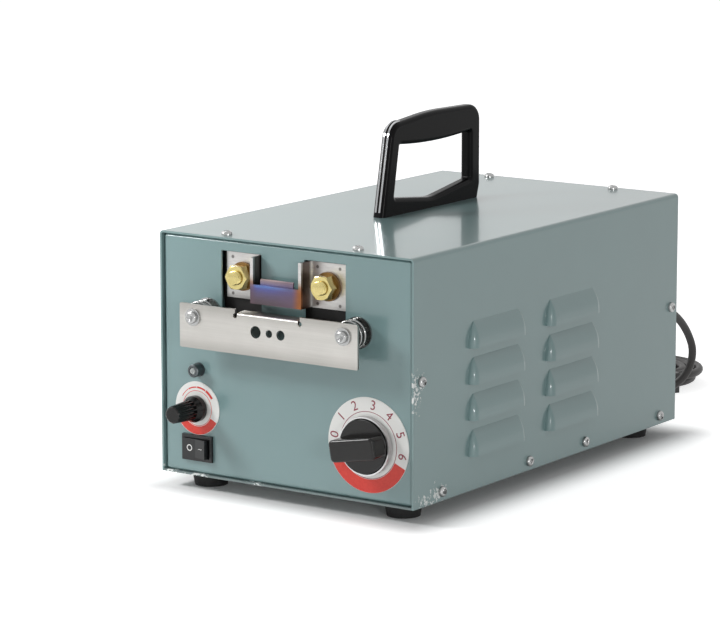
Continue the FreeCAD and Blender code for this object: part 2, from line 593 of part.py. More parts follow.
rounded(handle, "handle_corner", lambda edge: near(*outer_loop[1])(edge) or near(*outer_loop[3])(edge))
rounded(handle, "handle_arch", near(*outer_loop[2]))
rounded(handle, "rail_arch", near(*window_loop[1]))
rounded(handle, "bar_arch", near(*window_loop[4]))
rounded(handle, "window_corner", lambda edge: any(near(*window_loop[index])(edge) for index in (0, 2, 3, 5)))
handle_side = [side for side in handle.Shape.Faces if abs(side.CenterOfMass.x - number(HANDLE_HIGH)) < 1e-4]
handle_outline = handle_side[0].OuterWire
on_foot = lies_at("z", number(TOP))
rounded(handle, "handle_edge", lambda edge: not on_foot(edge)
        and (lies_at("x", number(HANDLE_LOW))(edge) or lies_at("x", number(HANDLE_HIGH))(edge)))
recess(handle, "XY", f"{TOP} - over", f"{TOP} + handle_screw_length - sheet_gauge + seat_gap",
       *[circle(x, y, "handle_screw_radius + seat_gap") for x, y in HANDLE_FEET])
node(handle, "handle_grip")


def trim_strips():
    """Two strips on the outer face of the front leg, bent over the top corner."""
    gauge, width = number("trim_gauge"), number("trim_width")
    ring = Part.Face(handle_outline.makeOffset2D(gauge)).cut(Part.Face(handle_outline))
    ring.translate(Vector(-number(HANDLE_HIGH), 0, 0))
    top = number(TOP)
    region = Part.makeBox(number("handle_thick"), number("trim_reach"), number("handle_height") + gauge,
                          Vector(-number("handle_thick / 2"), number(back("handle_front")) - gauge,
                                 top + number("trim_low")))
    strips = []
    for side in (-1, 1):
        strip = ring.copy()
        strip.translate(Vector(side * number("trim_spread") - width / 2, 0, 0))
        strip = strip.extrude(Vector(width, 0, 0)).common(region)
        strip.translate(Vector(number("handle_x"), 0, 0))
        strips += strip.Solids
    return Part.makeCompound(strips)


node(made("HandleTrim", trim_strips()), "handle_trim")
handle_screw = screw("HandleScrew", "foot_head_radius", "foot_head_height", "handle_screw_radius",
                     "handle_screw_length")
node(copies("HandleScrews", handle_screw, [((x, y, f"{TOP} - sheet_gauge"), "-z") for x, y in HANDLE_FEET]),
     "handle_screws")

# Heating blade: one strip bent like a hat, its front bar carrying the knife tongue
BLADE_BACK = "(blade_setback + blade_gauge)"
BAR_BACK = "(bar_gauge - blade_forward)"
FLANGE_IN = "(blade_half - blade_gauge)"
blade = new_body("Blade")
slab(blade, "XY", up("blade_low"), up("(blade_low + blade_height)"),
     [("tool_x - blade_reach", behind("blade_setback")), ("tool_x - blade_half", behind("blade_setback")),
      ("tool_x - blade_half", behind("-blade_forward")), ("tool_x + blade_half", behind("-blade_forward")),
      ("tool_x + blade_half", behind("blade_setback")), ("tool_x + blade_reach", behind("blade_setback")),
      ("tool_x + blade_reach", behind(BLADE_BACK)), (f"tool_x + {FLANGE_IN}", behind(BLADE_BACK)),
      (f"tool_x + {FLANGE_IN}", behind(BAR_BACK)), (f"tool_x - {FLANGE_IN}", behind(BAR_BACK)),
      (f"tool_x - {FLANGE_IN}", behind(BLADE_BACK)), ("tool_x - blade_reach", behind(BLADE_BACK))])
recess(blade, "XY", up("(blade_low + bar_height)"), up("(blade_low + blade_height + over)"),
       block(f"tool_x - {FLANGE_IN}", f"tool_x + {FLANGE_IN}", behind("-blade_forward - over"),
             behind(BAR_BACK)))
TONGUE_TOP = up("(blade_low + bar_height + tongue_height)")
slab(blade, "XY", up("(blade_low + bar_height)"), TONGUE_TOP,
     block("tool_x - tongue_half", "tool_x + tongue_half", behind(f"{BAR_BACK} - tongue_gauge"),
           behind(BAR_BACK)))
rounded(blade, "tongue_bevel", lambda edge: runs_along("x")(edge) and lies_at("z", number(TONGUE_TOP))(edge)
        and lies_at("y", number(behind(f"{BAR_BACK} - tongue_gauge")))(edge), "Chamfer")
recess(blade, "XZ", behind("blade_setback - over"), behind(f"{BLADE_BACK} + over"),
       *[circle(x, up("stud_z"), "stud_radius + stud_bore_gap") for x in STUDS])
node(blade, "heating_blade")

# Insulating board that carries the studs, on pins welded to the panel's back
BOARD_Y = behind(BLADE_BACK)
BOARD_BACK = f"({BOARD_Y} + board_gauge)"
board = new_body("TerminalBoard")
slab(board, "XZ", BOARD_Y, BOARD_BACK,
     block("tool_x - board_half", "tool_x + board_half", up("board_low"), up("board_high")))
recess(board, "XZ", f"{BOARD_Y} - over", f"{BOARD_BACK} + over",
       *[circle(x, up("stud_z"), "stud_radius + stud_bore_gap") for x in STUDS],
       *[circle(x, z, "pin_radius + pin_gap") for x, z in BOARD_PINS])
node(board, "terminal_board")
spacer = washer("BoardSpacer", "spacer_radius", f"({BOARD_Y} - {PANEL_BACK})", "pin_radius + pin_gap")
node(copies("BoardSpacers", spacer, [((x, PANEL_BACK, z), "+y") for x, z in BOARD_PINS]), "board_spacers")
board_nut = nut("BoardNut", "small_nut_flats", "small_nut_height", "pin_radius + seat_gap")
node(copies("BoardNuts", board_nut, [((x, BOARD_BACK, z), "+y") for x, z in BOARD_PINS]), "board_nuts")

# Brass terminals: studs, washers and nuts in front of the blade and behind the busbars
STUD_BORE = "stud_radius + seat_gap"
WASHER_Y = behind("(blade_setback - washer_gauge)")
STUD_FRONT = behind("(blade_setback - washer_gauge - nut_height - stud_tip)")
BUSBAR_Y = f"({BOARD_BACK} + washer_gauge)"
REAR_NUT_Y = f"({BUSBAR_Y} + busbar_gauge)"
STUD_LENGTH = f"{REAR_NUT_Y} + nut_height + stud_tip - {STUD_FRONT}"
stud = turned_body("Stud", [
    ("0", "0"), ("stud_radius - stud_tip_chamfer", "0"), ("stud_radius", "stud_tip_chamfer"),
    ("stud_radius", f"{STUD_LENGTH} - stud_tip_chamfer"), ("stud_radius - stud_tip_chamfer", STUD_LENGTH),
    ("0", STUD_LENGTH)])
node(copies("TerminalStuds", stud, [((x, STUD_FRONT, up("stud_z")), "+y") for x in STUDS]), "terminal_studs")
nut_cone = "nut_flats * 0.08"
terminal_nut = DOC.addObject("Part::Common", "TerminalNut")
terminal_nut.Base = nut("TerminalNutBlank", "nut_flats", "nut_height", STUD_BORE)
terminal_nut.Tool = turned_body("TerminalNutDome", [
    ("0", "0"), ("nut_flats / 2", "0"), (f"nut_flats / 2 + 2 * {nut_cone}", nut_cone),
    (f"nut_flats / 2 + 2 * {nut_cone}", f"nut_height - {nut_cone}"), ("nut_flats / 2", "nut_height"),
    ("0", "nut_height")])
node(copies("TerminalNuts", terminal_nut, [((x, WASHER_Y, up("stud_z")), "-y") for x in STUDS]
            + [((x, REAR_NUT_Y, up("stud_z")), "+y") for x in STUDS]), "terminal_nuts")
terminal_washer = washer("TerminalWasher", "washer_radius", "washer_gauge", STUD_BORE)
node(copies("TerminalWashers", terminal_washer, [((x, y, up("stud_z")), "+y") for x in STUDS
                                                 for y in (WASHER_Y, BOARD_BACK)]), "terminal_washers")

# Guide plate: slides back on two screws against a spring round each
GUIDE_Y = behind("-guide_standoff")
GUIDE_BACK = f"({GUIDE_Y} + guide_gauge)"
GUIDE_TOP = up("(guide_low + guide_height)")
LIP_TOP = f"({GUIDE_TOP} - guide_lip_drop)"
LIP_ROOT = f"({LIP_TOP} - guide_gauge)"
LIP_X = "(guide_lip_half - relief_radius)"
LIP_END = f"({GUIDE_BACK} + guide_lip_run)"
guide = new_body("GuidePlate")
slab(guide, "XZ", GUIDE_Y, GUIDE_BACK,
     block("tool_x - guide_width / 2", "tool_x + guide_width / 2", up("guide_low"), GUIDE_TOP))
rounded(guide, "guide_corner", runs_along("y"))
recess(guide, "XZ", f"{GUIDE_Y} - over", f"{GUIDE_BACK} + over",
       block("tool_x - guide_lip_half", "tool_x + guide_lip_half", LIP_ROOT, f"{GUIDE_TOP} + over"))
recess(guide, "XZ", f"{GUIDE_Y} - over", f"{GUIDE_BACK} + over",
       *[circle(f"tool_x {side} guide_lip_half", LIP_ROOT, "relief_radius") for side in SIDES],
       *[circle(x, up("guide_screw_z"), "guide_screw_radius + guide_hole_gap") for x in GUIDE_SCREWS],
       *[circle(f"hole_{mark}_x + tool_x", up("guide_hole_z"), f"hole_{mark}_radius") for mark in "abc"])
slab(guide, "YZ", f"tool_x - {LIP_X}", f"tool_x + {LIP_X}",
     [(GUIDE_Y, LIP_ROOT), (GUIDE_BACK, LIP_ROOT), (LIP_END, f"{LIP_ROOT} + guide_lip_rise"),
      (LIP_END, f"{LIP_TOP} + guide_lip_rise"), (GUIDE_Y, LIP_TOP)])
rounded(guide, "guide_bend", lambda edge: lies_at("y", number(GUIDE_Y))(edge)
        and lies_at("z", number(LIP_TOP))(edge))
node(guide, "guide_plate")
guide_screw = screw("GuideScrew", "guide_head_radius", "guide_head_height", "guide_screw_radius",
                    "guide_washer_gauge + guide_standoff + sheet_gauge + guide_nut_height + guide_tail")
HEAD_SEAT = f"({GUIDE_Y} - guide_washer_gauge)"
node(copies("GuideScrews", guide_screw, [((x, HEAD_SEAT, up("guide_screw_z")), "-y") for x in GUIDE_SCREWS]),
     "guide_screws")
GUIDE_BORE = "guide_screw_radius + seat_gap"
head_washer = washer("HeadWasher", "guide_washer_radius", "guide_washer_gauge", GUIDE_BORE)
spring_seat = washer("SpringSeat", "seat_radius", "seat_gauge", GUIDE_BORE)
SEAT_Y = behind("-seat_gauge")
node(group("GuideWashers", [
    copies("HeadWashers", head_washer, [((x, HEAD_SEAT, up("guide_screw_z")), "+y") for x in GUIDE_SCREWS]),
    copies("SpringSeats", spring_seat, [((x, SEAT_Y, up("guide_screw_z")), "+y") for x in GUIDE_SCREWS])]),
    "guide_washers")
guide_nut = nut("GuideNut", "guide_nut_flats", "guide_nut_height", GUIDE_BORE)
node(copies("GuideNuts", guide_nut, [((x, PANEL_BACK, up("guide_screw_z")), "+y") for x in GUIDE_SCREWS]),
     "guide_nuts")


# Wound and coiled tubes: smooth paths of arc pairs through points with known directions
def arc_between(start, apex, finish):
    """Arc tangent to two equal legs that meet at the apex."""
    middle = (start + finish) / 2
    rise = apex - middle
    half = (finish - start).Length / 2
    if rise.Length < 1e-7:
        return Part.makeLine(start, finish)
    sagitta = half * math.tan(math.atan2(rise.Length, half) / 2)
    return Part.Arc(start, middle + rise * (sagitta / rise.Length), finish).toShape()


def arc_pair(start, heading, finish, arrival):
    """Two arcs that leave along one direction and arrive along another."""
    chord = finish - start
    both = heading + arrival
    spread = 2 * (1 - heading.dot(arrival))
    along = chord.dot(both)
    if spread < 1e-9:
        leg = chord.dot(chord) / (2 * along)
    else:
        leg = (math.sqrt(along ** 2 + spread * chord.dot(chord)) - along) / spread
    first, second = start + heading * leg, finish - arrival * leg
    joint = (first + second) / 2
    return [arc_between(start, first, joint), arc_between(joint, second, finish)]


def smooth_path(stations):
    """Edges through (point, direction) stations."""
    edges = []
    for (start, heading), (finish, arrival) in zip(stations, stations[1:]):
        edges += arc_pair(start, heading, finish, arrival)
    return edges


def tube(edges, radius):
    """Solid round tube along a smooth run of edges."""
    path = Part.Wire(edges)
    first = edges[0]
    heading = first.tangentAt(first.FirstParameter)
    section = Part.Wire([Part.makeCircle(radius, first.valueAt(first.FirstParameter), heading)])
    return path.makePipeShell([section], True, False)


def least_gap(edges, radius, apart):
    """Least clear distance between stretches of a tube that lie further apart along it than a length."""
    points = Part.Wire(edges).discretize(Distance=radius)
    skip = int(apart / radius)
    least = min(((one - other).Length for index, one in enumerate(points) for other in points[index + skip:]))
    return least - 2 * radius


def spring_shape(x):
    """One compression spring about a guide screw."""
    wire, radius, turns = number("spring_wire"), number("spring_radius"), number("spring_turns")
    start = number(GUIDE_BACK) + number("spring_gap") + wire
    length = number(SEAT_Y) - number("spring_gap") - wire - start
    middle = Vector(number(x), start, number(up("guide_screw_z")))
    steps = round(turns * 4)
    rise = length / (turns * 2 * math.pi)
    stations = []
    for step in range(steps + 1):
        angle = math.pi / 2 * step
        heading = Vector(-math.sin(angle) * radius, rise, math.cos(angle) * radius)
        stations.append((middle + Vector(math.cos(angle) * radius, rise * angle, math.sin(angle) * radius),
                         heading.normalize()))
    edges = smooth_path(stations)
    print("spring gap", round(least_gap(edges, wire, math.pi * radius), 2))
    return tube(edges, wire)


node(made("GuideSprings", Part.makeCompound([spring_shape(x) for x in GUIDE_SCREWS])), "guide_springs")

# Temperature selector: rotary tap switch behind the panel, dial on it, bar-grip knob on its shaft
TEMP = ("temp_x", up("temp_z"))
switch = fused("TemperatureSwitchBody", [
    rod("SwitchCan", (TEMP[0], PANEL_BACK, TEMP[1]), "switch_radius", "switch_depth", "+y"),
    rod("SwitchBush", (TEMP[0], f"{PANEL_BACK} - bush_length", TEMP[1]), "bush_radius", "bush_length + over",
        "+y")])
SHAFT_BACK = f"({PANEL_BACK} + switch_depth / 2)"
node(cut("TemperatureSwitch", switch, [
    rod("SwitchBore", (TEMP[0], f"{PANEL_BACK} - bush_length - over", TEMP[1]), "shaft_radius + shaft_gap",
        "bush_length + over + switch_depth / 2 + seat_gap", "+y")]), "temperature_switch")
selector_nut = nut("SelectorNutBlank", "selector_flats", "selector_height", "bush_radius + seat_gap")
node(copies("SelectorNut", selector_nut, [((TEMP[0], PANEL_Y, TEMP[1]), "-y")]), "selector_nut")


def dial(name, x, z, radius, hole):
    disc = rod(f"{name}Disc", (x, f"{PANEL_Y} - dial_gauge", z), radius, "dial_gauge", "+y")
    middle = rod(f"{name}Hole", (x, f"{PANEL_Y} - dial_gauge - over", z), hole, "dial_gauge + 2 * over", "+y")
    return cut(name, disc, [middle])


node(dial("TemperatureDial", *TEMP, "temp_dial_radius", "dial_hole_radius"), "temperature_dial")
node(rod("TemperatureShaft", (TEMP[0], behind("-shaft_end"), TEMP[1]), "shaft_radius",
         f"{SHAFT_BACK} - {behind('-shaft_end')}", "+y"), "temperature_shaft")

# The knobs are modelled with their backs on the origin and then turned to face the front
KNOB_Y = behind("-dial_gauge - knob_lift")
SHAFT_HOLE = "shaft_radius + seat_gap"
KNOB_BORE = "(shaft_end - dial_gauge - knob_lift + seat_gap)"
skirt = turned_body("KnobSkirt", [
    ("knob_hollow", "0"), ("skirt_radius", "0"), ("skirt_radius - skirt_taper", "skirt_height"),
    ("0", "skirt_height"), ("0", "knob_hollow_depth"), ("knob_hollow", "knob_hollow_depth")])
grip = new_body("KnobGrip")
slab(grip, "XY", "knob_hollow_depth", "knob_height",
     block("-grip_length / 2", "grip_length / 2", "-grip_width / 2", "grip_width / 2"))
rounded(grip, "grip_corner", runs_along("z"))
rounded(grip, "grip_edge", lies_at("z", number("knob_height")))
knob = cut("Knob", fused("KnobBlank", [skirt, grip]), [
    rod("KnobBore", ("0", "0", "0"), SHAFT_HOLE, KNOB_BORE, "+z")])
knob_at = DOC.addObject("App::Link", "KnobAtRest")
knob_at.LinkedObject = knob
knob_at.setExpression("Placement.Rotation.Angle", bound("knob_rest"))
knob_set = group("KnobSet", [knob_at])
node(copies("TemperatureKnob", knob_set, [((TEMP[0], KNOB_Y, TEMP[1]), "-y")]), "temperature_knob")
ring = washer("KnobRingBlank", "knob_ring_radius", "knob_ring_gauge", "skirt_radius")
node(copies("KnobRing", ring, [((TEMP[0], KNOB_Y, TEMP[1]), "-y")]), "knob_ring")

# Time control: potentiometer, dial and fluted knob
TIME = ("time_x", up("time_z"))
pot = fused("TimePotBody", [
    rod("PotCan", (TIME[0], PANEL_BACK, TIME[1]), "pot_radius", "pot_depth", "+y"),
    rod("PotBush", (TIME[0], f"{PANEL_BACK} - pot_bush_length", TIME[1]), "pot_bush_radius",
        "pot_bush_length + over", "+y")])
node(cut("TimePot", pot, [
    rod("PotBore", (TIME[0], f"{PANEL_BACK} - pot_bush_length - over", TIME[1]),
        "pot_shaft_radius + shaft_gap", "pot_bush_length + over + pot_depth / 2 + seat_gap", "+y")]),
    "time_pot")
pot_nut = nut("PotNutBlank", "pot_nut_flats", "pot_nut_height", "pot_bush_radius + seat_gap")
node(copies("PotNut", pot_nut, [((TIME[0], PANEL_Y, TIME[1]), "-y")]), "pot_nut")
node(dial("TimeDial", *TIME, "time_dial_radius", "time_hole_radius"), "time_dial")
node(rod("TimeShaft", (TIME[0], behind("-shaft_end"), TIME[1]), "pot_shaft_radius",
         f"{PANEL_BACK} + pot_depth / 2 - {behind('-shaft_end')}", "+y"), "time_shaft")
fluted = new_body("FlutedKnob")
turned(fluted, [
    ("time_hollow", "0"), ("time_skirt_radius", "0"), ("time_skirt_radius", "time_skirt_height / 2"),
    ("time_neck_radius", "time_skirt_height"), ("time_cap_radius", "time_knob_height - grip_edge / 2"),
    ("time_cap_radius - grip_edge / 2", "time_knob_height"), ("0", "time_knob_height"),
    ("0", "time_hollow_depth"), ("time_hollow", "time_hollow_depth")])
flute = recess(fluted, "XY", "time_skirt_height", "time_knob_height + over",
               circle("time_cap_radius + flute_radius / 2", "0", "flute_radius"))
flutes = fluted.newObject("PartDesign::PolarPattern", "Flutes")
flutes.Originals = [flute]
flutes.Axis = ([axis for axis in fluted.Origin.OriginFeatures if axis.Role == "Z_Axis"][0], [""])
flutes.Angle = 360
flutes.setExpression("Occurrences", bound("flute_count"))
fluted.Tip = flutes
DOC.recompute()
recess(fluted, "XY", "0", KNOB_BORE, circle("0", "0", "pot_shaft_radius + seat_gap"))
node(copies("TimeKnob", fluted, [((TIME[0], KNOB_Y, TIME[1]), "-y")]), "time_knob")

# Rocker switch: snap-in housing with a well, and a rocker on two trunnions
ROCKER_Z = up("rocker_z")


def about_rocker(size):
    """Rectangle about the switch's middle: bezel, body or well."""
    return block(f"rocker_x - rocker_{size}_x / 2", f"rocker_x + rocker_{size}_x / 2",
                 f"{ROCKER_Z} - rocker_{size}_z / 2", f"{ROCKER_Z} + rocker_{size}_z / 2")


housing = new_body("RockerHousing")
slab(housing, "XZ", behind("-bezel_height"), PANEL_Y, about_rocker("bezel"))
slab(housing, "XZ", PANEL_Y, behind("rocker_depth"), about_rocker("body"))
recess(housing, "XZ", behind("-bezel_height - over"), behind("well_depth"), about_rocker("well"))
PIVOT_Y = behind("(rocker_pivot - bezel_height)")
TRUNNION_END = "(rocker_well_z / 2 + trunnion_length)"
SOCKET_END = f"({TRUNNION_END} + trunnion_clear)"
recess(housing, "XY", f"{ROCKER_Z} - {SOCKET_END}", f"{ROCKER_Z} + {SOCKET_END}",
       circle("rocker_x", PIVOT_Y, "trunnion_radius + trunnion_gap"))
node(housing, "rocker_housing")
# The rocker's own zero is its pivot. Its face looks along -Y and it is stored with its left half pressed.
ROCKER_HALF_Z = "(rocker_well_z / 2 - rocker_side_gap)"
FACE = "rocker_pivot + rocker_face"
rocker = new_body("RockerButton")
slab(rocker, "XY", f"-{ROCKER_HALF_Z}", ROCKER_HALF_Z,
     [("-rocker_half", f"-({FACE})"), ("0", f"rocker_dip - ({FACE})"), ("rocker_half", f"-({FACE})"),
      ("rocker_half", "rocker_shoulder - rocker_pivot"), ("rocker_keel_half", "rocker_keel - rocker_pivot"),
      ("-rocker_keel_half", "rocker_keel - rocker_pivot"),
      ("-rocker_half", "rocker_shoulder - rocker_pivot")])
slab(rocker, "XY", f"-{TRUNNION_END}", TRUNNION_END, circle("0", "0", "trunnion_radius"))
rocker_at = DOC.addObject("App::Link", "RockerPlaced")
rocker_at.LinkedObject = rocker
place(rocker_at, ("rocker_x", PIVOT_Y, ROCKER_Z))
rocker_at.setExpression("Placement.Rotation.Angle", bound("-rocker_tilt"))
node(group("Rocker", [rocker_at]), "rocker")

# Pilot lamp: barrel through the panel with a small lens let into its end
LAMP = ("lamp_x", up("lamp_z"))
lamp = turned_body("LampBezel", [
    ("0", "-lamp_depth"), ("lamp_body_radius", "-lamp_depth"), ("lamp_body_radius", "0"),
    ("lamp_flange_radius", "0"), ("lamp_flange_radius", "lamp_flange_height"),
    ("lamp_barrel_radius", "lamp_flange_height"), ("lamp_barrel_radius", "lamp_barrel_height - lamp_rim"),
    ("lamp_barrel_radius - lamp_rim", "lamp_barrel_height"), ("lens_radius", "lamp_barrel_height"),
    ("lens_radius", "lamp_barrel_height - lens_seat"), ("0", "lamp_barrel_height - lens_seat")])
node(copies("LampBezelPlaced", lamp, [((LAMP[0], PANEL_Y, LAMP[1]), "-y")]), "lamp_bezel")
lens = turned_body("LampLens", [
    ("0", "0"), ("lens_radius - seat_gap", "0"), ("lens_radius - seat_gap", "lens_height * 0.6"),
    ("lens_radius * 0.75", "lens_height * 0.9"), ("lens_radius * 0.3", "lens_height"), ("0", "lens_height")])
LENS_Y = behind("lens_seat - lamp_barrel_height")
node(copies("LampLensPlaced", lens, [((LAMP[0], LENS_Y, LAMP[1]), "-y")]), "lamp_lens")

# Transformer: laminated core on the tray, former, primary winding and a one-turn secondary strap
CORE_LOW, CORE_HIGH = FLOOR, f"({FLOOR} + core_height)"
CORE_FRONT, CORE_BACK = f"({CORE_Y} - core_stack / 2)", f"({CORE_Y} + core_stack / 2)"
WINDOW_LOW, WINDOW_HIGH = f"({CORE_LOW} + yoke)", f"({CORE_HIGH} - yoke)"
CORE_BOLTS = [(f"(tool_x {side} (core_width / 2 - core_bolt_in))", z) for side in SIDES
              for z in (f"({CORE_LOW} + core_bolt_in)", f"({CORE_HIGH} - core_bolt_in)")]
core = new_body("Core")
slab(core, "XZ", CORE_FRONT, CORE_BACK,
     block("tool_x - core_width / 2", "tool_x + core_width / 2", CORE_LOW, CORE_HIGH))
WINDOW_FAR = "(core_width / 2 - yoke)"
recess(core, "XZ", f"{CORE_FRONT} - over", f"{CORE_BACK} + over",
       block(f"tool_x - {WINDOW_FAR}", "tool_x - limb / 2", WINDOW_LOW, WINDOW_HIGH),
       block("tool_x + limb / 2", f"tool_x + {WINDOW_FAR}", WINDOW_LOW, WINDOW_HIGH),
       *[circle(x, z, "core_bolt_radius + core_bolt_gap") for x, z in CORE_BOLTS])
node(core, "transformer_core")

SLEEVE_X, SLEEVE_Y = "(limb / 2 + former_gap + former_wall)", "(core_stack / 2 + former_gap + former_wall)"


def around(x, y):
    """Rectangle about the core's middle in plan."""
    return block(f"tool_x - {x}", f"tool_x + {x}", f"{CORE_Y} - {y}", f"{CORE_Y} + {y}")


FORMER_LOW, FORMER_HIGH = f"({WINDOW_LOW} + former_gap)", f"({WINDOW_HIGH} - former_gap)"
former = new_body("CoilFormer")
slab(former, "XY", FORMER_LOW, FORMER_HIGH, around(SLEEVE_X, SLEEVE_Y))
for low in (FORMER_LOW, f"({FORMER_HIGH} - former_flange)"):
    slab(former, "XY", low, f"{low} + former_flange",
         around(f"({SLEEVE_X} + former_reach - former_wall)", f"({SLEEVE_Y} + former_reach - former_wall)"))
recess(former, "XY", f"{FORMER_LOW} - over", f"{FORMER_HIGH} + over",
       around("(limb / 2 + former_gap)", "(core_stack / 2 + former_gap)"))
node(former, "coil_former")

winding = new_body("PrimaryWinding")
slab(winding, "XY", f"{FORMER_LOW} + former_flange + seat_gap", f"{FORMER_HIGH} - former_flange - seat_gap",
     around(f"({SLEEVE_X} + winding_build)", f"({SLEEVE_Y} + winding_build)"))
rounded(winding, "winding_round", runs_along("z"))
recess(winding, "XY", FORMER_LOW, FORMER_HIGH,
       around(f"({SLEEVE_X} + seat_gap)", f"({SLEEVE_Y} + seat_gap)"))
node(winding, "primary_winding")

STRAP_IN = f"({SLEEVE_X} + winding_build + strap_gap)"
STRAP_OUT = f"({STRAP_IN} + strap_gauge)"
STRAP_REAR = f"({CORE_Y} + {SLEEVE_Y} + winding_build + strap_gap)"
FLAG_Y = f"({CORE_Y} - strap_front)"
FLAG_BACK = f"({FLAG_Y} + strap_gauge)"
STRAP_BACK = f"({STRAP_REAR} + strap_gauge)"
strap = new_body("SecondaryStrap")
slab(strap, "XY", up("strap_low"), up("(strap_low + strap_height)"),
     [(f"tool_x - {STRAP_OUT}", FLAG_Y), (f"tool_x - {STRAP_OUT} + flag_reach", FLAG_Y),
      (f"tool_x - {STRAP_OUT} + flag_reach", FLAG_BACK), (f"tool_x - {STRAP_IN}", FLAG_BACK),
      (f"tool_x - {STRAP_IN}", STRAP_REAR), (f"tool_x + {STRAP_IN}", STRAP_REAR),
      (f"tool_x + {STRAP_IN}", FLAG_BACK), (f"tool_x + {STRAP_OUT} - flag_reach", FLAG_BACK),
      (f"tool_x + {STRAP_OUT} - flag_reach", FLAG_Y), (f"tool_x + {STRAP_OUT}", FLAG_Y),
      (f"tool_x + {STRAP_OUT}", STRAP_BACK), (f"tool_x - {STRAP_OUT}", STRAP_BACK)])
TAG_Z = up("(strap_low + strap_height / 2)")
TAG_HOLE = "tag_bolt_radius + tag_bolt_gap"
TAGS = [f"(tool_x {side} tag_half)" for side in SIDES]
recess(strap, "XZ", f"{FLAG_Y} - over", f"{FLAG_BACK} + over", *[circle(x, TAG_Z, TAG_HOLE) for x in TAGS])
node(strap, "secondary_strap")


def busbar(name, x, tag_x):
    """Copper bar from a stud, over the top of the core and down to the secondary's flag."""
    body = new_body(name)
    drop = f"({FLAG_Y} - busbar_gauge)"
    top = up("busbar_top")
    under = f"({top} - busbar_gauge)"
    slab(body, "YZ", f"{x} - busbar_width / 2", f"{x} + busbar_width / 2",
         [(BUSBAR_Y, f"{top} - busbar_plate"), (BUSBAR_Y, top), (FLAG_Y, top), (FLAG_Y, up("strap_low")),
          (drop, up("strap_low")), (drop, under), (REAR_NUT_Y, under), (REAR_NUT_Y, f"{top} - busbar_plate")])
    recess(body, "XZ", f"{BUSBAR_Y} - over", f"{REAR_NUT_Y} + over", circle(x, up("stud_z"), STUD_BORE))
    recess(body, "XZ", f"{drop} - over", f"{FLAG_Y} + over", circle(tag_x, TAG_Z, TAG_HOLE))
    return body


left_bar, right_bar = busbar("BusbarLeft", STUDS[0], TAGS[0]), busbar("BusbarRight", STUDS[1], TAGS[1])
node(group("Busbars", [left_bar, right_bar]), "busbars")


def hex_bolt(name, flats, head, radius, length):
    """Hexagon bolt: its seat at the origin, the head along +Z and the shank along -Z."""
    return fused(name, [hexagon(f"{name}Head", ("0", "0", "0"), flats, head, "+z"),
                        rod(f"{name}Shank", ("0", "0", "0"), radius, length, "-z")])


tag_bolt = hex_bolt("TagBolt", "tag_head_flats", "tag_head_height", "tag_bolt_radius",
                    "busbar_gauge + strap_gauge + tag_nut_height + tag_bolt_tail")
tag_nut = nut("TagNut", "tag_head_flats", "tag_nut_height", "tag_bolt_radius + seat_gap")
node(group("BusbarFixings", [
    copies("BusbarBolts", tag_bolt, [((x, f"{FLAG_Y} - busbar_gauge", TAG_Z), "-y") for x in TAGS]),
    copies("BusbarNuts", tag_nut, [((x, FLAG_BACK, TAG_Z), "+y") for x in TAGS])]), "busbar_bolts")


# Core clamps: angle irons that bolt the stack to the tray
def clamp(name, toward):
    """Angle on one face of the stack: toward is - for the front and + for the rear."""
    face = f"({CORE_Y} {toward} core_stack / 2)"
    foot_end, wall_end = f"{face} {toward} clamp_foot", f"{face} {toward} clamp_gauge"
    low, high = (foot_end, face) if toward == "-" else (face, foot_end)
    wall_low, wall_high = (wall_end, face) if toward == "-" else (face, wall_end)
    bolts = [spot for spot in CLAMP_BOLTS if f"{toward} (core" in spot[1]]
    body = new_body(name)
    span = ("tool_x - core_width / 2", "tool_x + core_width / 2")
    slab(body, "XY", FLOOR, f"{FLOOR} + clamp_gauge", block(*span, low, high))
    slab(body, "XY", FLOOR, f"{FLOOR} + clamp_leg", block(*span, wall_low, wall_high))
    recess(body, "XZ", f"{wall_low} - seat_gap", f"{wall_high} + seat_gap",
           *[circle(x, z, "core_bolt_radius + core_bolt_gap") for x, z in CORE_BOLTS[::2]])
    recess(body, "XY", f"{FLOOR} - over", f"{FLOOR} + clamp_gauge + over",
           *[circle(x, y, "core_bolt_radius + core_bolt_gap") for x, y in bolts])
    return body


node(group("CoreClamps", [clamp("ClampFront", "-"), clamp("ClampRear", "+")]), "core_clamps")
core_bolt = hex_bolt("CoreBolt", "core_head_flats", "core_head_height", "core_bolt_radius",
                     "core_stack + 2 * clamp_gauge + core_head_height + core_tail")
top_bolt = hex_bolt("TopBolt", "core_head_flats", "core_head_height", "core_bolt_radius",
                    "core_stack + core_head_height + core_tail")
core_nut = nut("CoreNut", "core_head_flats", "core_head_height", "core_bolt_radius + seat_gap")
low_bolts, high_bolts = CORE_BOLTS[::2], CORE_BOLTS[1::2]
tray_bolt = hex_bolt("TrayBolt", "core_head_flats", "core_head_height", "core_bolt_radius",
                     "sheet_gauge + clamp_gauge + core_head_height + core_tail")
node(group("CoreBolts", [
    copies("LowBolts", core_bolt, [((x, f"{CORE_FRONT} - clamp_gauge", z), "-y") for x, z in low_bolts]),
    copies("HighBolts", top_bolt, [((x, CORE_FRONT, z), "-y") for x, z in high_bolts]),
    copies("TrayBolts", tray_bolt, [((x, y, BASE), "-z") for x, y in CLAMP_BOLTS])]), "core_bolts")
node(copies("CoreNuts", core_nut, [((x, f"{CORE_BACK} + clamp_gauge", z), "+y") for x, z in low_bolts]
            + [((x, CORE_BACK, z), "+y") for x, z in high_bolts]
            + [((x, y, f"{FLOOR} + clamp_gauge"), "+z") for x, y in CLAMP_BOLTS]), "core_nuts")

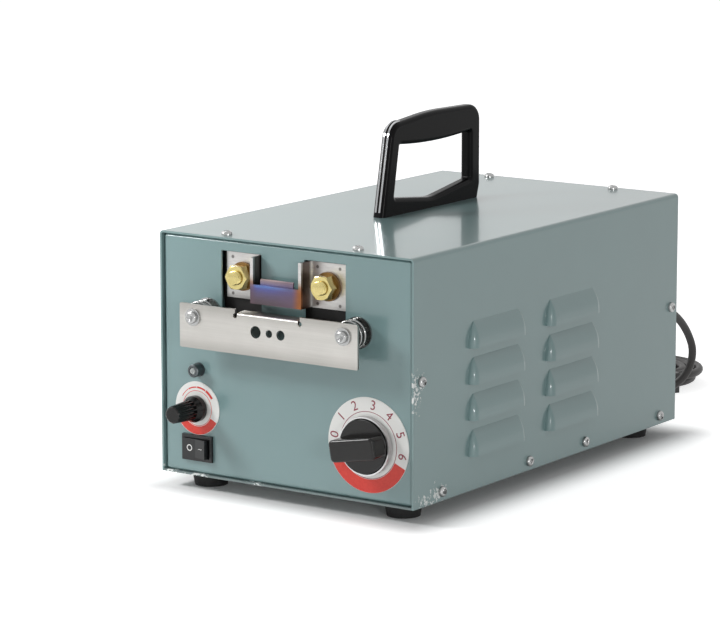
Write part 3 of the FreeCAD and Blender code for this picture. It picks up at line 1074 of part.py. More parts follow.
# Timer board on four pillars, with its relay, wire terminals and fuse
TIMER_Z = f"({FLOOR} + pillar_height)"
TIMER_TOP = f"({TIMER_Z} + timer_gauge)"
TIMER_FRONT = back("(timer_y - timer_depth / 2)")
TIMER_LEFT = "(timer_x - timer_width / 2)"
timer = new_body("ControlBoard")
slab(timer, "XY", TIMER_Z, TIMER_TOP, block(TIMER_LEFT, "timer_x + timer_width / 2", TIMER_FRONT,
                                            back("(timer_y + timer_depth / 2)")))
recess(timer, "XY", f"{TIMER_Z} - over", f"{TIMER_TOP} + over",
       *[circle(x, y, "timer_screw_radius + seat_gap") for x, y in PILLARS])
node(timer, "control_board")
pillar = washer("Pillar", "pillar_radius", "pillar_height", "timer_screw_radius + seat_gap")
node(copies("BoardPillars", pillar, [((x, y, FLOOR), "+z") for x, y in PILLARS]), "board_pillars")
timer_screw = screw("TimerScrew", "timer_screw_head", "timer_head_height", "timer_screw_radius",
                    "timer_gauge + pillar_height + sheet_gauge")
node(copies("BoardScrews", timer_screw, [((x, y, TIMER_TOP), "+z") for x, y in PILLARS]), "board_screws")
PART_X = f"{TIMER_LEFT} + 2 * timer_part_in"
RELAY_Y = f"{TIMER_FRONT} + timer_depth - 2 * timer_part_in - relay_depth"
node(box("TimerRelay", (PART_X, RELAY_Y, TIMER_TOP), ("relay_width", "relay_depth", "relay_height")),
     "timer_relay")
BLOCK_Y = f"{TIMER_FRONT} + timer_part_in"
ways = int(number("block_ways"))
wire_block = box("TerminalBlock", (PART_X, BLOCK_Y, TIMER_TOP),
                 ("block_width", "block_depth", "block_height"))
node(cut("WireTerminals", wire_block, [
    rod("WireHole", (f"{PART_X} + block_width / {ways} * {way + 0.5}", f"{BLOCK_Y} + block_depth / 2",
                     f"{TIMER_TOP} + block_height - block_hole_depth"), "block_hole_radius",
        "block_hole_depth + over", "+z") for way in range(ways)]), "wire_terminals")
FUSE_X = "(timer_x + timer_width / 2 - timer_part_in - fuse_length)"
FUSE_Y = back("timer_y")
FUSE_Z = f"({TIMER_TOP} + fuse_lift)"
fuse_clips = cut("FuseClips", group("FuseClipBlanks", [
    box("FuseClip", (f"{FUSE_X} + {start}", f"{FUSE_Y} - clip_width / 2", TIMER_TOP),
        ("fuse_cap", "clip_width", "fuse_lift")) for start in ("0", "fuse_length - fuse_cap")]), [
    rod("FuseSeat", (f"{FUSE_X} - over", FUSE_Y, FUSE_Z), "fuse_radius", "fuse_length + 2 * over", "+x")])
node(group("FuseInClips", [
    rod("FuseLink", (FUSE_X, FUSE_Y, FUSE_Z), "fuse_radius", "fuse_length", "+x"), fuse_clips]), "fuse_link")

# Mains lead: gland and sleeve on the rear panel, free stretch, tied coil and plug
GLAND = ("gland_x", up("gland_z"))
CORD_BORE = "cord_radius + cord_bore_gap"
GLAND_OUT = f"({REAR_PANEL_Y} + gland_height)"
SLEEVE_END = f"({GLAND_OUT} + sleeve_length)"
GLAND_IN = f"({REAR_PANEL_Y} - sheet_gauge - gland_inner)"


def bored(name, blank, start, finish):
    """Piece of the lead's exit with the cord's way through it."""
    return cut(name, blank, [rod(f"{name}Bore", (GLAND[0], f"{start} - over", GLAND[1]), CORD_BORE,
                                 f"{finish} - {start} + 2 * over", "+y")])


node(bored("CordGland", fused("GlandBody", [
    hexagon("GlandHead", (GLAND[0], REAR_PANEL_Y, GLAND[1]), "gland_flats", "gland_height", "+y"),
    rod("GlandThread", (GLAND[0], GLAND_IN, GLAND[1]), "gland_body_radius", f"{REAR_PANEL_Y} - {GLAND_IN}",
        "+y")]), GLAND_IN, GLAND_OUT), "cord_gland")
gland_nut = nut("GlandNutBlank", "gland_flats", "gland_nut_height", "gland_body_radius + seat_gap")
node(copies("GlandNut", gland_nut, [((GLAND[0], f"{REAR_PANEL_Y} - sheet_gauge", GLAND[1]), "-y")]),
     "gland_nut")
node(bored("CordSleeve", cone("SleeveCone", (GLAND[0], GLAND_OUT, GLAND[1]), "sleeve_radius",
                              "sleeve_tip_radius", "sleeve_length", "+y"), GLAND_OUT, SLEEVE_END),
     "cord_sleeve")

COIL_LOW = number("coil_lift + cord_radius")
COIL_MIDDLE = Vector(number("coil_x"), number(back("coil_y")), 0)


def coil_station(half_turns, radius, height, slope=0.0):
    """Point and direction on a clockwise coil, counted in half turns from its near side."""
    angle = -math.pi / 2 - math.pi * half_turns
    point = COIL_MIDDLE + Vector(radius * math.cos(angle), radius * math.sin(angle), height)
    return point, Vector(math.sin(angle), -math.cos(angle), slope).normalize()


def coil_stations():
    """Lower layer winding in, a climb of half a turn, then the upper layer winding out past it."""
    outer, step = number("coil_radius"), number("coil_pitch") / 2
    halves = int(number("coil_half_turns"))
    inner = outer - halves * step
    high = COIL_LOW + number("coil_layer_pitch")
    stations = [coil_station(index, outer - index * step, COIL_LOW) for index in range(halves + 1)]
    slope = (high - COIL_LOW) / (math.pi * inner) * 1.5
    stations.append(coil_station(halves + 0.5, inner - step / 2, (COIL_LOW + high) / 2, slope))
    stations += [coil_station(halves + 1 + index, inner + index * step, high) for index in range(halves + 2)]
    return stations


stations = coil_stations()
lead_in = stations[0][0] - stations[0][1] * number("coil_lead_in")
plug_face = stations[-1][0] + stations[-1][1] * number("coil_lead_out")
coil_edges = ([Part.makeLine(lead_in, stations[0][0])] + smooth_path(stations)
              + [Part.makeLine(stations[-1][0], plug_face)])
print("coil gap", round(least_gap(coil_edges, number("cord_radius"), math.pi * number("coil_radius") / 2), 2))
print("coil length", round(sum(edge.Length for edge in coil_edges), 1))
node(made("CordCoil", tube(coil_edges, number("cord_radius"))), "cord_coil")

# Free stretch: out of the sleeve, down to the floor and round into the coil's lower turn
CORD_ROUTE = [(50, 158, 62), (50, 184.5, 62), (50, 209.5, 50.8), (50, 225.5, 36.5), (50, 232.9, 22.1),
              (43.8, 233.7, 5.8), (28.3, 233.6, -5.2)]
CORD_POINTS = [Vector(x, y + number(CASE_Y), z + number(BASE)) for x, y, z in CORD_ROUTE] + [lead_in]


def rounded_route(points):
    """Straight runs joined by arcs, each as large as its two runs allow."""
    edges, radii = [], []
    here = points[0]
    for before, corner, after in zip(points, points[1:], points[2:]):
        arriving, leaving = corner - before, after - corner
        half_turn = arriving.getAngle(leaving) / 2
        setback = 0.45 * min(arriving.Length, leaving.Length)
        radii.append(setback / math.tan(half_turn))
        enter = corner - arriving.normalize() * setback
        leave = corner + leaving.normalize() * setback
        edges += [Part.makeLine(here, enter), arc_between(enter, corner, leave)]
        here = leave
    edges.append(Part.makeLine(here, points[-1]))
    return edges, radii


cord_edges, cord_radii = rounded_route(CORD_POINTS)
print("cord radii", [round(radius, 1) for radius in cord_radii])
cord = tube(cord_edges, number("cord_radius"))
cord_length = sum(edge.Length for edge in cord_edges)
print("cord length", round(cord_length, 1), "volume share",
      round(cord.Volume / (math.pi * number("cord_radius") ** 2 * cord_length), 4))
node(made("MainsCord", cord), "mains_cord")


def coil_tie():
    """Flat band round the bundle of turns at one angle."""
    angle = math.radians(number("tie_angle"))
    away = Vector(math.cos(angle), math.sin(angle), 0)
    width, gauge, gap = number("tie_width"), number("tie_gauge"), number("tie_gap")
    radius = number("cord_radius")
    near_by = [point - COIL_MIDDLE for point in Part.Wire(coil_edges).discretize(Distance=1.0)]
    inside = [point for point in near_by
              if abs(point.x * away.y - point.y * away.x) < width and point.dot(away) > 0]
    low = min(point.dot(away) for point in inside) - radius - gap
    high = max(point.dot(away) for point in inside) + radius + gap
    top = max(point.z for point in inside) + radius + gap
    band = Part.makeBox(high - low + 2 * gauge, width, top + gauge, Vector(low - gauge, -width / 2, 0))
    band = band.cut(Part.makeBox(high - low, 3 * width, top - gauge, Vector(low, -1.5 * width, gauge)))
    band.rotate(Vector(), Vector(0, 0, 1), number("tie_angle"))
    band.translate(COIL_MIDDLE)
    return band


node(made("CordTie", coil_tie()), "cord_tie")

PLUG = [str(plug_face.x), str(plug_face.y), str(plug_face.z)]
PLUG_BODY_X = f"{PLUG[0]} - plug_neck_length"
PLUG_FACE_X = f"{PLUG_BODY_X} - plug_length"
PIN_AXES = [(PLUG_FACE_X, f"{PLUG[1]} {side} plug_pin_spacing / 2", PLUG[2]) for side in SIDES]
node(fused("PlugBody", [
    cone("PlugNeck", PLUG, "plug_neck_radius", "plug_radius", "plug_neck_length", "-x"),
    rod("PlugGrip", (PLUG_BODY_X, PLUG[1], PLUG[2]), "plug_radius", "plug_length", "-x"),
    box("PlugFace", (PLUG_FACE_X, PIN_AXES[0][1], f"{PLUG[2]} - plug_face_radius"),
        ("plug_face_length", "plug_pin_spacing", "2 * plug_face_radius")),
    *[rod("PlugCheek", axis, "plug_face_radius", "plug_face_length", "+x") for axis in PIN_AXES]]),
    "plug_body")
node(group("PlugPins", [
    rod("PlugPin", axis, "plug_pin_radius", "plug_pin_length", "-x") for axis in PIN_AXES]), "plug_pins")

# Every object has to be sound before anything is written
DOC.recompute()
faults = [obj.Name for obj in DOC.Objects if "Invalid" in obj.State or "Error" in obj.State]
faults += [obj.Label for obj in NODES
           if obj.Shape.isNull() or not obj.Shape.isValid() or not obj.Shape.Solids]
if faults:
    raise RuntimeError(f"unsound objects: {faults}")
os.makedirs("parts", exist_ok=True)
for obj in NODES:
    obj.Shape.exportStep(f"parts/{obj.Label}.step")
print(len(NODES), "nodes")
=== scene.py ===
import json
import math

import bmesh
import bpy
from mathutils import Matrix, Vector

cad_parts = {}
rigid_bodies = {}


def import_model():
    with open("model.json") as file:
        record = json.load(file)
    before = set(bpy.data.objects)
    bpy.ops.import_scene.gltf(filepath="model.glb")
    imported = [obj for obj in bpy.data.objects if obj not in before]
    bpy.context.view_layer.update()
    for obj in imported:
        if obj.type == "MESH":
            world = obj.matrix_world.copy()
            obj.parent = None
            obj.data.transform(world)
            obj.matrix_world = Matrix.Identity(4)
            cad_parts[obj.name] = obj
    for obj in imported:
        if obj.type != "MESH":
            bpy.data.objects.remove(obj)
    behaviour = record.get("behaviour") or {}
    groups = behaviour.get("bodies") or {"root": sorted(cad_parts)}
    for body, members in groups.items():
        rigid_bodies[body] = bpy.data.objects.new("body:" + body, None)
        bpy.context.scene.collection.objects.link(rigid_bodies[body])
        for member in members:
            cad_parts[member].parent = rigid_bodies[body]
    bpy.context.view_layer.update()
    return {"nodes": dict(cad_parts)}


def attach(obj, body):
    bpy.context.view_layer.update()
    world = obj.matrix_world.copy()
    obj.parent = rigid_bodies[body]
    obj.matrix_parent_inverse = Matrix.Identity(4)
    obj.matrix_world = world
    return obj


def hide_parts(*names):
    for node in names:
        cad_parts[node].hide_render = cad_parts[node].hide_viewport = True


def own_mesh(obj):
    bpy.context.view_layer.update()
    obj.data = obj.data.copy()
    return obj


for leftover in list(bpy.data.objects):
    bpy.data.objects.remove(leftover)
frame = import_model()


# Cabinet sheet: cover, front and rear panels and floor tray, folded from 1.2 mm steel and sprayed in one
# grey-green enamel. The enamel has a fine orange peel and is knocked off in pale chips along the front edges.
def tone(red, green, blue):
    """Linear colour for a colour as a screen shows it, 0 to 255."""
    def channel(level):
        level /= 255
        return level / 12.92 if level <= 0.04045 else ((level + 0.055) / 1.055) ** 2.4
    return channel(red), channel(green), channel(blue), 1


def put(tree, kind, inputs=None, **options):
    """Place a shader node: options are its own settings, inputs are values or sockets to link."""
    placed = tree.nodes.new(kind)
    for option, value in options.items():
        setattr(placed, option, value)
    for key, value in (inputs or {}).items():
        if isinstance(value, bpy.types.NodeSocket):
            tree.links.new(value, placed.inputs[key])
        else:
            placed.inputs[key].default_value = value
    return placed


def sums(tree, operation, *terms):
    """Output of a Math node on values or sockets."""
    return put(tree, "ShaderNodeMath", dict(enumerate(terms)), operation=operation).outputs[0]


def vectors(tree, operation, *terms):
    """Output of a Vector Math node on vectors or sockets: one number for a length or a distance."""
    outputs = put(tree, "ShaderNodeVectorMath", dict(enumerate(terms)), operation=operation).outputs
    return outputs["Value" if operation in ("LENGTH", "DISTANCE") else "Vector"]


def tinted(tree, mask, first, second):
    """First colour where the mask is 0, second where it is 1."""
    return put(tree, "ShaderNodeMix", {0: mask, 6: first, 7: second}, data_type="RGBA").outputs[2]


def spread(tree, value, low, high):
    """Value from 0 to 1 carried onto another range."""
    return put(tree, "ShaderNodeMapRange", {"Value": value, "To Min": low, "To Max": high}).outputs["Result"]


def share(tree, value, low, high, way="LINEAR"):
    """0 up to one value, 1 from another on, and a straight or a smooth way between them."""
    return put(tree, "ShaderNodeMapRange", {"Value": value, "From Min": low, "From Max": high},
               interpolation_type=way).outputs["Result"]


def noise(tree, place, scale, detail, harshness=0.5):
    """Cloudy value with so many lumps to a metre."""
    return put(tree, "ShaderNodeTexNoise", {"Vector": place, "Scale": scale, "Detail": detail,
                                            "Roughness": harshness}).outputs[0]


def effect(name, inputs, outputs):
    """Empty shader node group with named sockets."""
    group = bpy.data.node_groups.new(name, "ShaderNodeTree")
    for way, sockets in (("INPUT", inputs), ("OUTPUT", outputs)):
        for socket, kind in sockets.items():
            group.interface.new_socket(socket, in_out=way, socket_type=f"NodeSocket{kind}")
    return group, group.nodes.new("NodeGroupInput").outputs, group.nodes.new("NodeGroupOutput").inputs


def place_on(tree):
    """Place on the piece that wears a material."""
    return put(tree, "ShaderNodeTexCoord").outputs["Object"]


def shader_of(material):
    """Inputs of a material's shader."""
    return material.node_tree.nodes["Principled BSDF"].inputs


def finish(name, colour, metallic, roughness):
    """New material, with its node tree, its shader's inputs and the place on the piece."""
    material = bpy.data.materials.new(name)
    material.use_nodes = True
    shader = shader_of(material)
    shader["Base Color"].default_value = colour
    shader["Metallic"].default_value = metallic
    shader["Roughness"].default_value = roughness
    return material, material.node_tree, shader, place_on(material.node_tree)


def raised(tree, shader, height, strength, depth):
    """Bump a surface by a height from 0 to 1 times a depth in metres."""
    bump = put(tree, "ShaderNodeBump", {"Height": height, "Strength": strength, "Distance": depth})
    tree.links.new(bump.outputs["Normal"], shader["Normal"])


def dress(material, *names):
    """Give nodes of the frame a finish in each of their slots."""
    for name in names:
        for slot in frame["nodes"][name].material_slots:
            slot.material = material


# The peel of a sprayed or moulded skin, and the slow clouding of its colour
skin, given, gives = effect("skin_peel", {"Place": "Vector", "Lumps": "Float"},
                            {"Height": "Float", "Cloud": "Float"})
skin.links.new(noise(skin, given["Place"], given["Lumps"], 2), gives["Height"])
skin.links.new(noise(skin, given["Place"], 14, 3), gives["Cloud"])

# Chips in a coat, thick round a knocked spot and gone at a distance from it
chips, given, gives = effect("paint_chips", {"Place": "Vector", "Distance": "Float", "Reach": "Float"},
                             {"Mask": "Float"})
flakes = noise(chips, given["Place"], 480, 3, 0.6)
nearness = sums(chips, "SUBTRACT", 1, sums(chips, "DIVIDE", given["Distance"], given["Reach"]))
pull = sums(chips, "MULTIPLY", sums(chips, "MAXIMUM", nearness, -1), 0.26)
chips.links.new(share(chips, sums(chips, "ADD", flakes, pull), 0.72, 0.74), gives["Mask"])


def peeled(tree, place, lumps):
    """Height and cloud of a skin with so many lumps to a metre."""
    return put(tree, "ShaderNodeGroup", {"Place": place, "Lumps": lumps}, node_tree=skin).outputs


def enamel(name, colour, knocks):
    """Sprayed enamel: knocks are the places where it has been chipped."""
    material, tree, shader, place = finish(name, colour, 0, 0.34)
    peel = peeled(tree, place, 520)
    nearest = 1.0
    for knock in knocks:
        nearest = sums(tree, "MINIMUM", vectors(tree, "DISTANCE", place, knock), nearest)
    chipped = put(tree, "ShaderNodeGroup", {"Place": place, "Distance": nearest, "Reach": 0.014},
                  node_tree=chips).outputs["Mask"]
    dull, pale = ((*(level * gain for level in colour[:3]), 1) for gain in (0.94, 1.1))
    coat = tinted(tree, peel["Cloud"], dull, pale)
    tree.links.new(tinted(tree, chipped, coat, tone(232, 236, 234)), shader["Base Color"])
    bared = sums(tree, "MULTIPLY", chipped, 0.3)
    tree.links.new(sums(tree, "ADD", spread(tree, peel["Cloud"], 0.285, 0.37), bared), shader["Roughness"])
    height = sums(tree, "SUBTRACT", peel["Height"], sums(tree, "MULTIPLY", chipped, 2))
    raised(tree, shader, height, 0.12, 0.0001)
    shader["Coat Weight"].default_value = 0.6
    shader["Coat Roughness"].default_value = 0.1
    return material


half_width, case_front, case_rear = 0.087, -0.13275, 0.15525
knocked = [(half_width, -0.1322, 0.079), (half_width, -0.1322, 0.070), (half_width, -0.108, 0.0125),
           (half_width, -0.120, 0.0100), (-0.060, -0.1327, 0.0095), (-0.080, -0.1327, 0.0095),
           (-0.020, -0.1327, 0.0090)]
dress(enamel("cover_enamel", tone(120, 147, 147), knocked), "cover", "rear_panel")
front_coat = enamel("panel_enamel", tone(120, 148, 149), [])
dress(front_coat, "front_panel")
dress(enamel("tray_enamel", tone(104, 120, 120), knocked), "base_tray")


# Cover screws: zinc-plated pan heads with a cross recess, M3, cut into the panel flanges and the tray's lips.
# Each head starts as a disc. A cross is drawn down from it, under faces that stay, and its rim is drawn out
# and down.
def all_of(shape):
    """Every vertex, edge and face of a shape."""
    return shape.verts[:] + shape.edges[:] + shape.faces[:]


def open_edges(shape):
    """Edges that have a face on one side only."""
    return [edge for edge in shape.edges if edge.is_boundary]


def points_in(made):
    """Vertices among what an operator has made."""
    return [part for part in made["geom"] if isinstance(part, bmesh.types.BMVert)]


def pan_screw(radius, height, shank, length):
    """Pan-head screw that stands on the origin, its head along +Z and its shank along -Z."""
    screw = bmesh.new()
    crown = radius * 0.66
    arm, half = crown * 0.84, radius * 0.12
    bmesh.ops.create_circle(screw, cap_ends=True, segments=32, radius=crown,
                            matrix=Matrix.Translation((0, 0, height)))
    for normal in (Vector((1, 0, 0)), Vector((0, 1, 0))):
        for offset in (-arm, -half, half, arm):
            bmesh.ops.bisect_plane(screw, geom=all_of(screw), plane_co=normal * offset, plane_no=normal)
    cross = []
    for face in screw.faces:
        middle = face.calc_center_median()
        near, far = sorted((abs(middle.x), abs(middle.y)))
        if near < half and far < arm:
            cross.append(face)
    pit = points_in(bmesh.ops.extrude_face_region(screw, geom=cross))
    bmesh.ops.translate(screw, verts=pit, vec=(0, 0, -0.55 * height))
    bmesh.ops.scale(screw, verts=pit, vec=(0.5, 0.5, 1))
    wide, level = crown, height
    for next_wide, next_level in ((radius * 0.87, height * 0.86), (radius * 0.97, height * 0.62),
                                  (radius, height * 0.36), (radius, 0), (shank, 0), (shank, -length)):
        bmesh.ops.extrude_edge_only(screw, edges=open_edges(screw))
        rim = list({vert for edge in open_edges(screw) for vert in edge.verts})
        bmesh.ops.scale(screw, verts=rim, vec=(next_wide / wide, next_wide / wide, 1))
        bmesh.ops.translate(screw, verts=rim, vec=(0, 0, next_level - level))
        wide, level = next_wide, next_level
    bmesh.ops.contextual_create(screw, geom=open_edges(screw))
    return screw


def repeated(master, spots):
    """One shape that holds a copy of a small one at each place."""
    pattern = bpy.data.meshes.new("pattern")
    master.to_mesh(pattern)
    master.free()
    many = bmesh.new()
    for spot in spots:
        start = len(many.verts)
        many.from_mesh(pattern)
        bmesh.ops.transform(many, matrix=spot, verts=many.verts[start:])
    bpy.data.meshes.remove(pattern)
    return many


def piece(name, shape, material, body="cabinet", sharp=35):
    """Make a shape a piece of the object: smooth but for edges sharper than an angle, riding on a body."""
    bmesh.ops.recalc_face_normals(shape, faces=shape.faces[:])
    for face in shape.faces:
        face.smooth = True
    for edge in shape.edges:
        edge.smooth = edge.calc_face_angle(0) < math.radians(sharp)
    mesh = bpy.data.meshes.new(name)
    shape.to_mesh(mesh)
    shape.free()
    mesh.materials.append(material)
    made = bpy.data.objects.new(name, mesh)
    bpy.context.scene.collection.objects.link(made)
    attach(made, body)
    return made


def facing(x, y, z, axis, angle=0, turn=0):
    """Place whose +Z is tipped by an angle about an axis, after a turn about itself."""
    return (Matrix.Translation((x, y, z)) @ Matrix.Rotation(math.radians(angle), 4, axis)
            @ Matrix.Rotation(math.radians(turn), 4, "Z"))


# Metal that has been rubbed along one direction: streaks from a noise drawn out along it
brushing, given, gives = effect("brushing", {"Place": "Vector", "Grain": "Vector"},
                                {"Streak": "Float", "Smear": "Float"})
drawn = vectors(brushing, "MULTIPLY", given["Place"], given["Grain"])
brushing.links.new(noise(brushing, drawn, 1, 4, 0.65), gives["Streak"])
brushing.links.new(noise(brushing, given["Place"], 38, 3), gives["Smear"])


def rubbed(tree, place, grain):
    """Streaks and smears of rubbed metal: grain is how many streaks lie along each axis in a metre."""
    return put(tree, "ShaderNodeGroup", {"Place": place, "Grain": grain}, node_tree=brushing).outputs


def metal(name, dark, bright, rough, grain, bite=0.06):
    """Bare or plated metal with rub marks."""
    material, tree, shader, place = finish(name, bright, 1, rough[0])
    rub = rubbed(tree, place, grain)
    polish = sums(tree, "MULTIPLY", sums(tree, "ADD", rub["Streak"], rub["Smear"]), 0.5)
    tree.links.new(tinted(tree, polish, dark, bright), shader["Base Color"])
    tree.links.new(spread(tree, rub["Smear"], *rough), shader["Roughness"])
    raised(tree, shader, rub["Streak"], bite, 0.00005)
    return material


zinc = metal("zinc_plate", tone(128, 130, 132), tone(202, 202, 200), (0.18, 0.265), (900, 900, 900))
flange_rows, roof = (-0.12525, 0.14775), 0.149
side_holes = [(y, 0.0145) for y in (-0.10475, -0.01375, 0.04825, 0.13575)] + [(y, 0.080) for y in flange_rows]
spots = [facing(side * half_width, y, z, "Y", side * 90, 37 * count)
         for side in (-1, 1) for count, (y, z) in enumerate(side_holes)]
spots += [facing(x, y, roof, "Z", 0, 900 * x + 300 * y) for x in (-0.045, 0.045) for y in flange_rows]
heads = piece("cover_screw_set", repeated(pan_screw(0.0031, 0.0022, 0.0015, 0.007), spots), zinc)
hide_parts("cover_screws")


# Feet: four tapered rubber bumpers, each with a pan-head screw sunk in its hollow and driven up into the
# tray. The rubber is matt black and a little dusty.
def moulded(name, colour, dusty, rough, lumps, bite=0.1):
    """Moulded plastic or rubber: a fine texture from the mould and a faint bloom of dust."""
    material, tree, shader, place = finish(name, colour, 0, rough[0])
    peel = peeled(tree, place, lumps)
    tree.links.new(tinted(tree, peel["Cloud"], colour, dusty), shader["Base Color"])
    tree.links.new(spread(tree, peel["Cloud"], *rough), shader["Roughness"])
    raised(tree, shader, peel["Height"], bite, 0.0001)
    return material


dress(moulded("foot_rubber", tone(14, 14, 15), tone(30, 30, 30), (0.62, 0.85), 900, 0.3), "rubber_feet")
foot_places = [(x, y) for x in (-0.067, 0.067) for y in (-0.11275, 0.13525)]
spots = [facing(x, y, 0.005, "X", 180, 60 * count) for count, (x, y) in enumerate(foot_places)]
driven = piece("foot_screw_set", repeated(pan_screw(0.004, 0.0026, 0.002, 0.009), spots), zinc)
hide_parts("foot_screws")

# Carrying handle: one black moulding on two screws from inside the cover, with two bright plated strips let
# in up the front leg and over its corner.
handle_black = moulded("handle_plastic", tone(9, 9, 10), tone(15, 15, 16), (0.19, 0.265), 700, 0.08)
shader_of(handle_black)["Specular IOR Level"].default_value = 0.08
dress(handle_black, "handle_grip")
strip_plate = metal("strip_plate", tone(126, 127, 129), tone(186, 187, 188), (0.08, 0.18), (120, 120, 40),
                    0.02)
dress(strip_plate, "handle_trim")
dress(zinc, "handle_screws")


# Transformer: core of varnished silicon-steel sheets, card former, enamelled primary wire and one turn of
# copper strap. Two angle irons clamp the stack to the tray.
def layered(name, seam, crown, metallic, rough, axis, count, wobble, bite):
    """Sheets or turns that lie side by side along an axis, with a dark seam between each two."""
    material, tree, shader, place = finish(name, crown, metallic, rough)
    layers = put(tree, "ShaderNodeTexWave", {"Vector": place, "Scale": count, "Distortion": wobble},
                 bands_direction=axis).outputs[0]
    tree.links.new(tinted(tree, layers, seam, crown), shader["Base Color"])
    raised(tree, shader, layers, bite, 0.0002)
    return material


dress(layered("core_sheets", tone(48, 49, 54), tone(104, 106, 112), 0.7, 0.45, "Y", 320, 0.4, 0.5),
      "transformer_core")
dress(moulded("former_card", tone(196, 188, 160), tone(214, 206, 180), (0.6, 0.75), 500), "coil_former")
dress(layered("winding_enamel", tone(96, 42, 22), tone(188, 104, 58), 0.6, 0.35, "Z", 480, 0.2, 0.6),
      "primary_winding")
copper = metal("busbar_copper", tone(150, 84, 56), tone(222, 148, 112), (0.3, 0.5), (40, 900, 900))
dress(copper, "secondary_strap", "busbars")
dress(zinc, "core_clamps", "core_bolts", "core_nuts", "busbar_bolts")

# Terminal board: slab of black phenolic laminate held off the panel on spacers and pins, because the two
# studs carry the heating current.
dress(moulded("phenolic_board", tone(14, 13, 13), tone(24, 22, 21), (0.45, 0.6), 300), "terminal_board")
dress(zinc, "board_spacers", "board_nuts")


# Terminals: two M8 brass studs with a nut and washer each side. The thread is a zigzag carried round while it
# climbs by one pitch, so that each turn meets the next.
def threaded_rod(radius, length, pitch):
    """Threaded rod from the origin along +Z, its ends cut square."""
    rod = bmesh.new()
    root = radius - 0.6 * pitch
    crests = []
    for tooth in range(-2, int(length / pitch) + 1):
        for out, rise in ((root, 0.06), (radius, 0.44), (radius, 0.56), (root, 0.94)):
            crests.append(rod.verts.new((out, 0, (tooth + rise) * pitch)))
    flanks = [rod.edges.new(pair) for pair in zip(crests, crests[1:])]
    steps = 28
    bmesh.ops.spin(rod, geom=crests + flanks, axis=(0, 0, 1), cent=(0, 0, 0), dvec=(0, 0, pitch / steps),
                   angle=math.tau, steps=steps)
    bmesh.ops.remove_doubles(rod, verts=rod.verts[:], dist=pitch * 0.02)
    for height, normal in ((0, (0, 0, -1)), (length, (0, 0, 1))):
        bmesh.ops.bisect_plane(rod, geom=all_of(rod), plane_co=(0, 0, height), plane_no=normal,
                               clear_outer=True)
    bmesh.ops.holes_fill(rod, edges=open_edges(rod), sides=0)
    return rod


brass = metal("terminal_brass", tone(176, 158, 92), tone(230, 217, 158), (0.17, 0.265), (260, 260, 260))
stud_left, stud_right, stud_height, stud_tip = -0.0310, 0.0274, 0.1273, -0.13885
spots = [facing(x, stud_tip, stud_height, "X", -90) for x in (stud_left, stud_right)]
studs = piece("threaded_studs", repeated(threaded_rod(0.004, 0.0362, 0.00125), spots), brass)
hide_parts("terminal_studs")
dress(brass, "terminal_nuts")
bronze = metal("washer_bronze", tone(88, 66, 44), tone(148, 118, 78), (0.35, 0.55), (300, 300, 300))
dress(bronze, "terminal_washers")


# Heating blade: one nickel-alloy strip bent like a hat, bolted by its two end plates. Current has run temper
# colours from the silver plates through straw and bronze to violet and blue at the knife. A painted highlight
# lightens the blue along the bar's top edge.
def ramp_of(tree, value, stops):
    """Colour that follows a value from 0 to 1 through stops given as a place and a screen colour."""
    ramp = put(tree, "ShaderNodeValToRGB", {"Fac": value})
    first, last = ramp.color_ramp.elements
    for element, (position, colour) in ((first, stops[0]), (last, stops[-1])):
        element.position, element.color = position, tone(*colour)
    for position, colour in stops[1:-1]:
        ramp.color_ramp.elements.new(position).color = tone(*colour)
    return ramp.outputs["Color"]


def eased(tree, value, low, high):
    """0 below one value, 1 above another and smooth between."""
    return share(tree, value, low, high, "SMOOTHSTEP")


def apart(tree, value, middle):
    """How far a value lies from a middle one, to either side."""
    return sums(tree, "ABSOLUTE", sums(tree, "SUBTRACT", value, middle))


def overlaid(material, mask, colour):
    """Lay a colour over the one that a material has, where a mask is 1."""
    base = shader_of(material)["Base Color"]
    tree = material.node_tree
    tree.links.new(tinted(tree, mask, base.links[0].from_socket, colour), base)


tempered_and_highlit, tree, shader, place = finish("tempered_strip_and_highlight", tone(200, 200, 200), 1, 0.3)
axes = put(tree, "ShaderNodeSeparateXYZ", {"Vector": place}).outputs
rub = rubbed(tree, place, (160, 700, 900))
blade_x, bar_face, bar_low, knife_top = (stud_left + stud_right) / 2, -0.13825, 0.1145, 0.1288
aside = sums(tree, "SUBTRACT", axes["X"], blade_x)
wander = spread(tree, rub["Smear"], -0.0012, 0.0012)
level = share(tree, sums(tree, "ADD", axes["Z"], wander), bar_low, knife_top)
# Temper colours up the bar; the light blue stop at the bar's top edge also holds a painted highlight
temper_and_highlight = ramp_of(tree, level, [(0.0, (90, 80, 85)), (0.18, (97, 86, 97)), (0.42, (99, 92, 121)),
                             (0.62, (92, 97, 154)), (0.735, (101, 131, 194)), (0.79, (120, 115, 150)),
                             (0.9, (143, 129, 145)), (1.0, (162, 143, 139))])
# The bar's light blue top edge, temper blue with a painted highlight, fades to its right; the bar turns straw
# at its right end and grey at its left end
rightwards = sums(tree, "ADD", aside, wander)
blue_and_highlight_fade = sums(tree, "MULTIPLY", eased(tree, rightwards, -0.006, 0.011), 0.6)
temper_and_highlight = tinted(tree, blue_and_highlight_fade, temper_and_highlight, tone(106, 90, 108))
temper_and_highlight = tinted(tree, eased(tree, rightwards, 0.0105, 0.0165), temper_and_highlight, tone(150, 94, 54))
grey = eased(tree, sums(tree, "SUBTRACT", wander, aside), 0.0120, 0.0172)
temper_and_highlight = tinted(tree, sums(tree, "MULTIPLY", grey, 0.7), temper_and_highlight, tone(103, 85, 94))
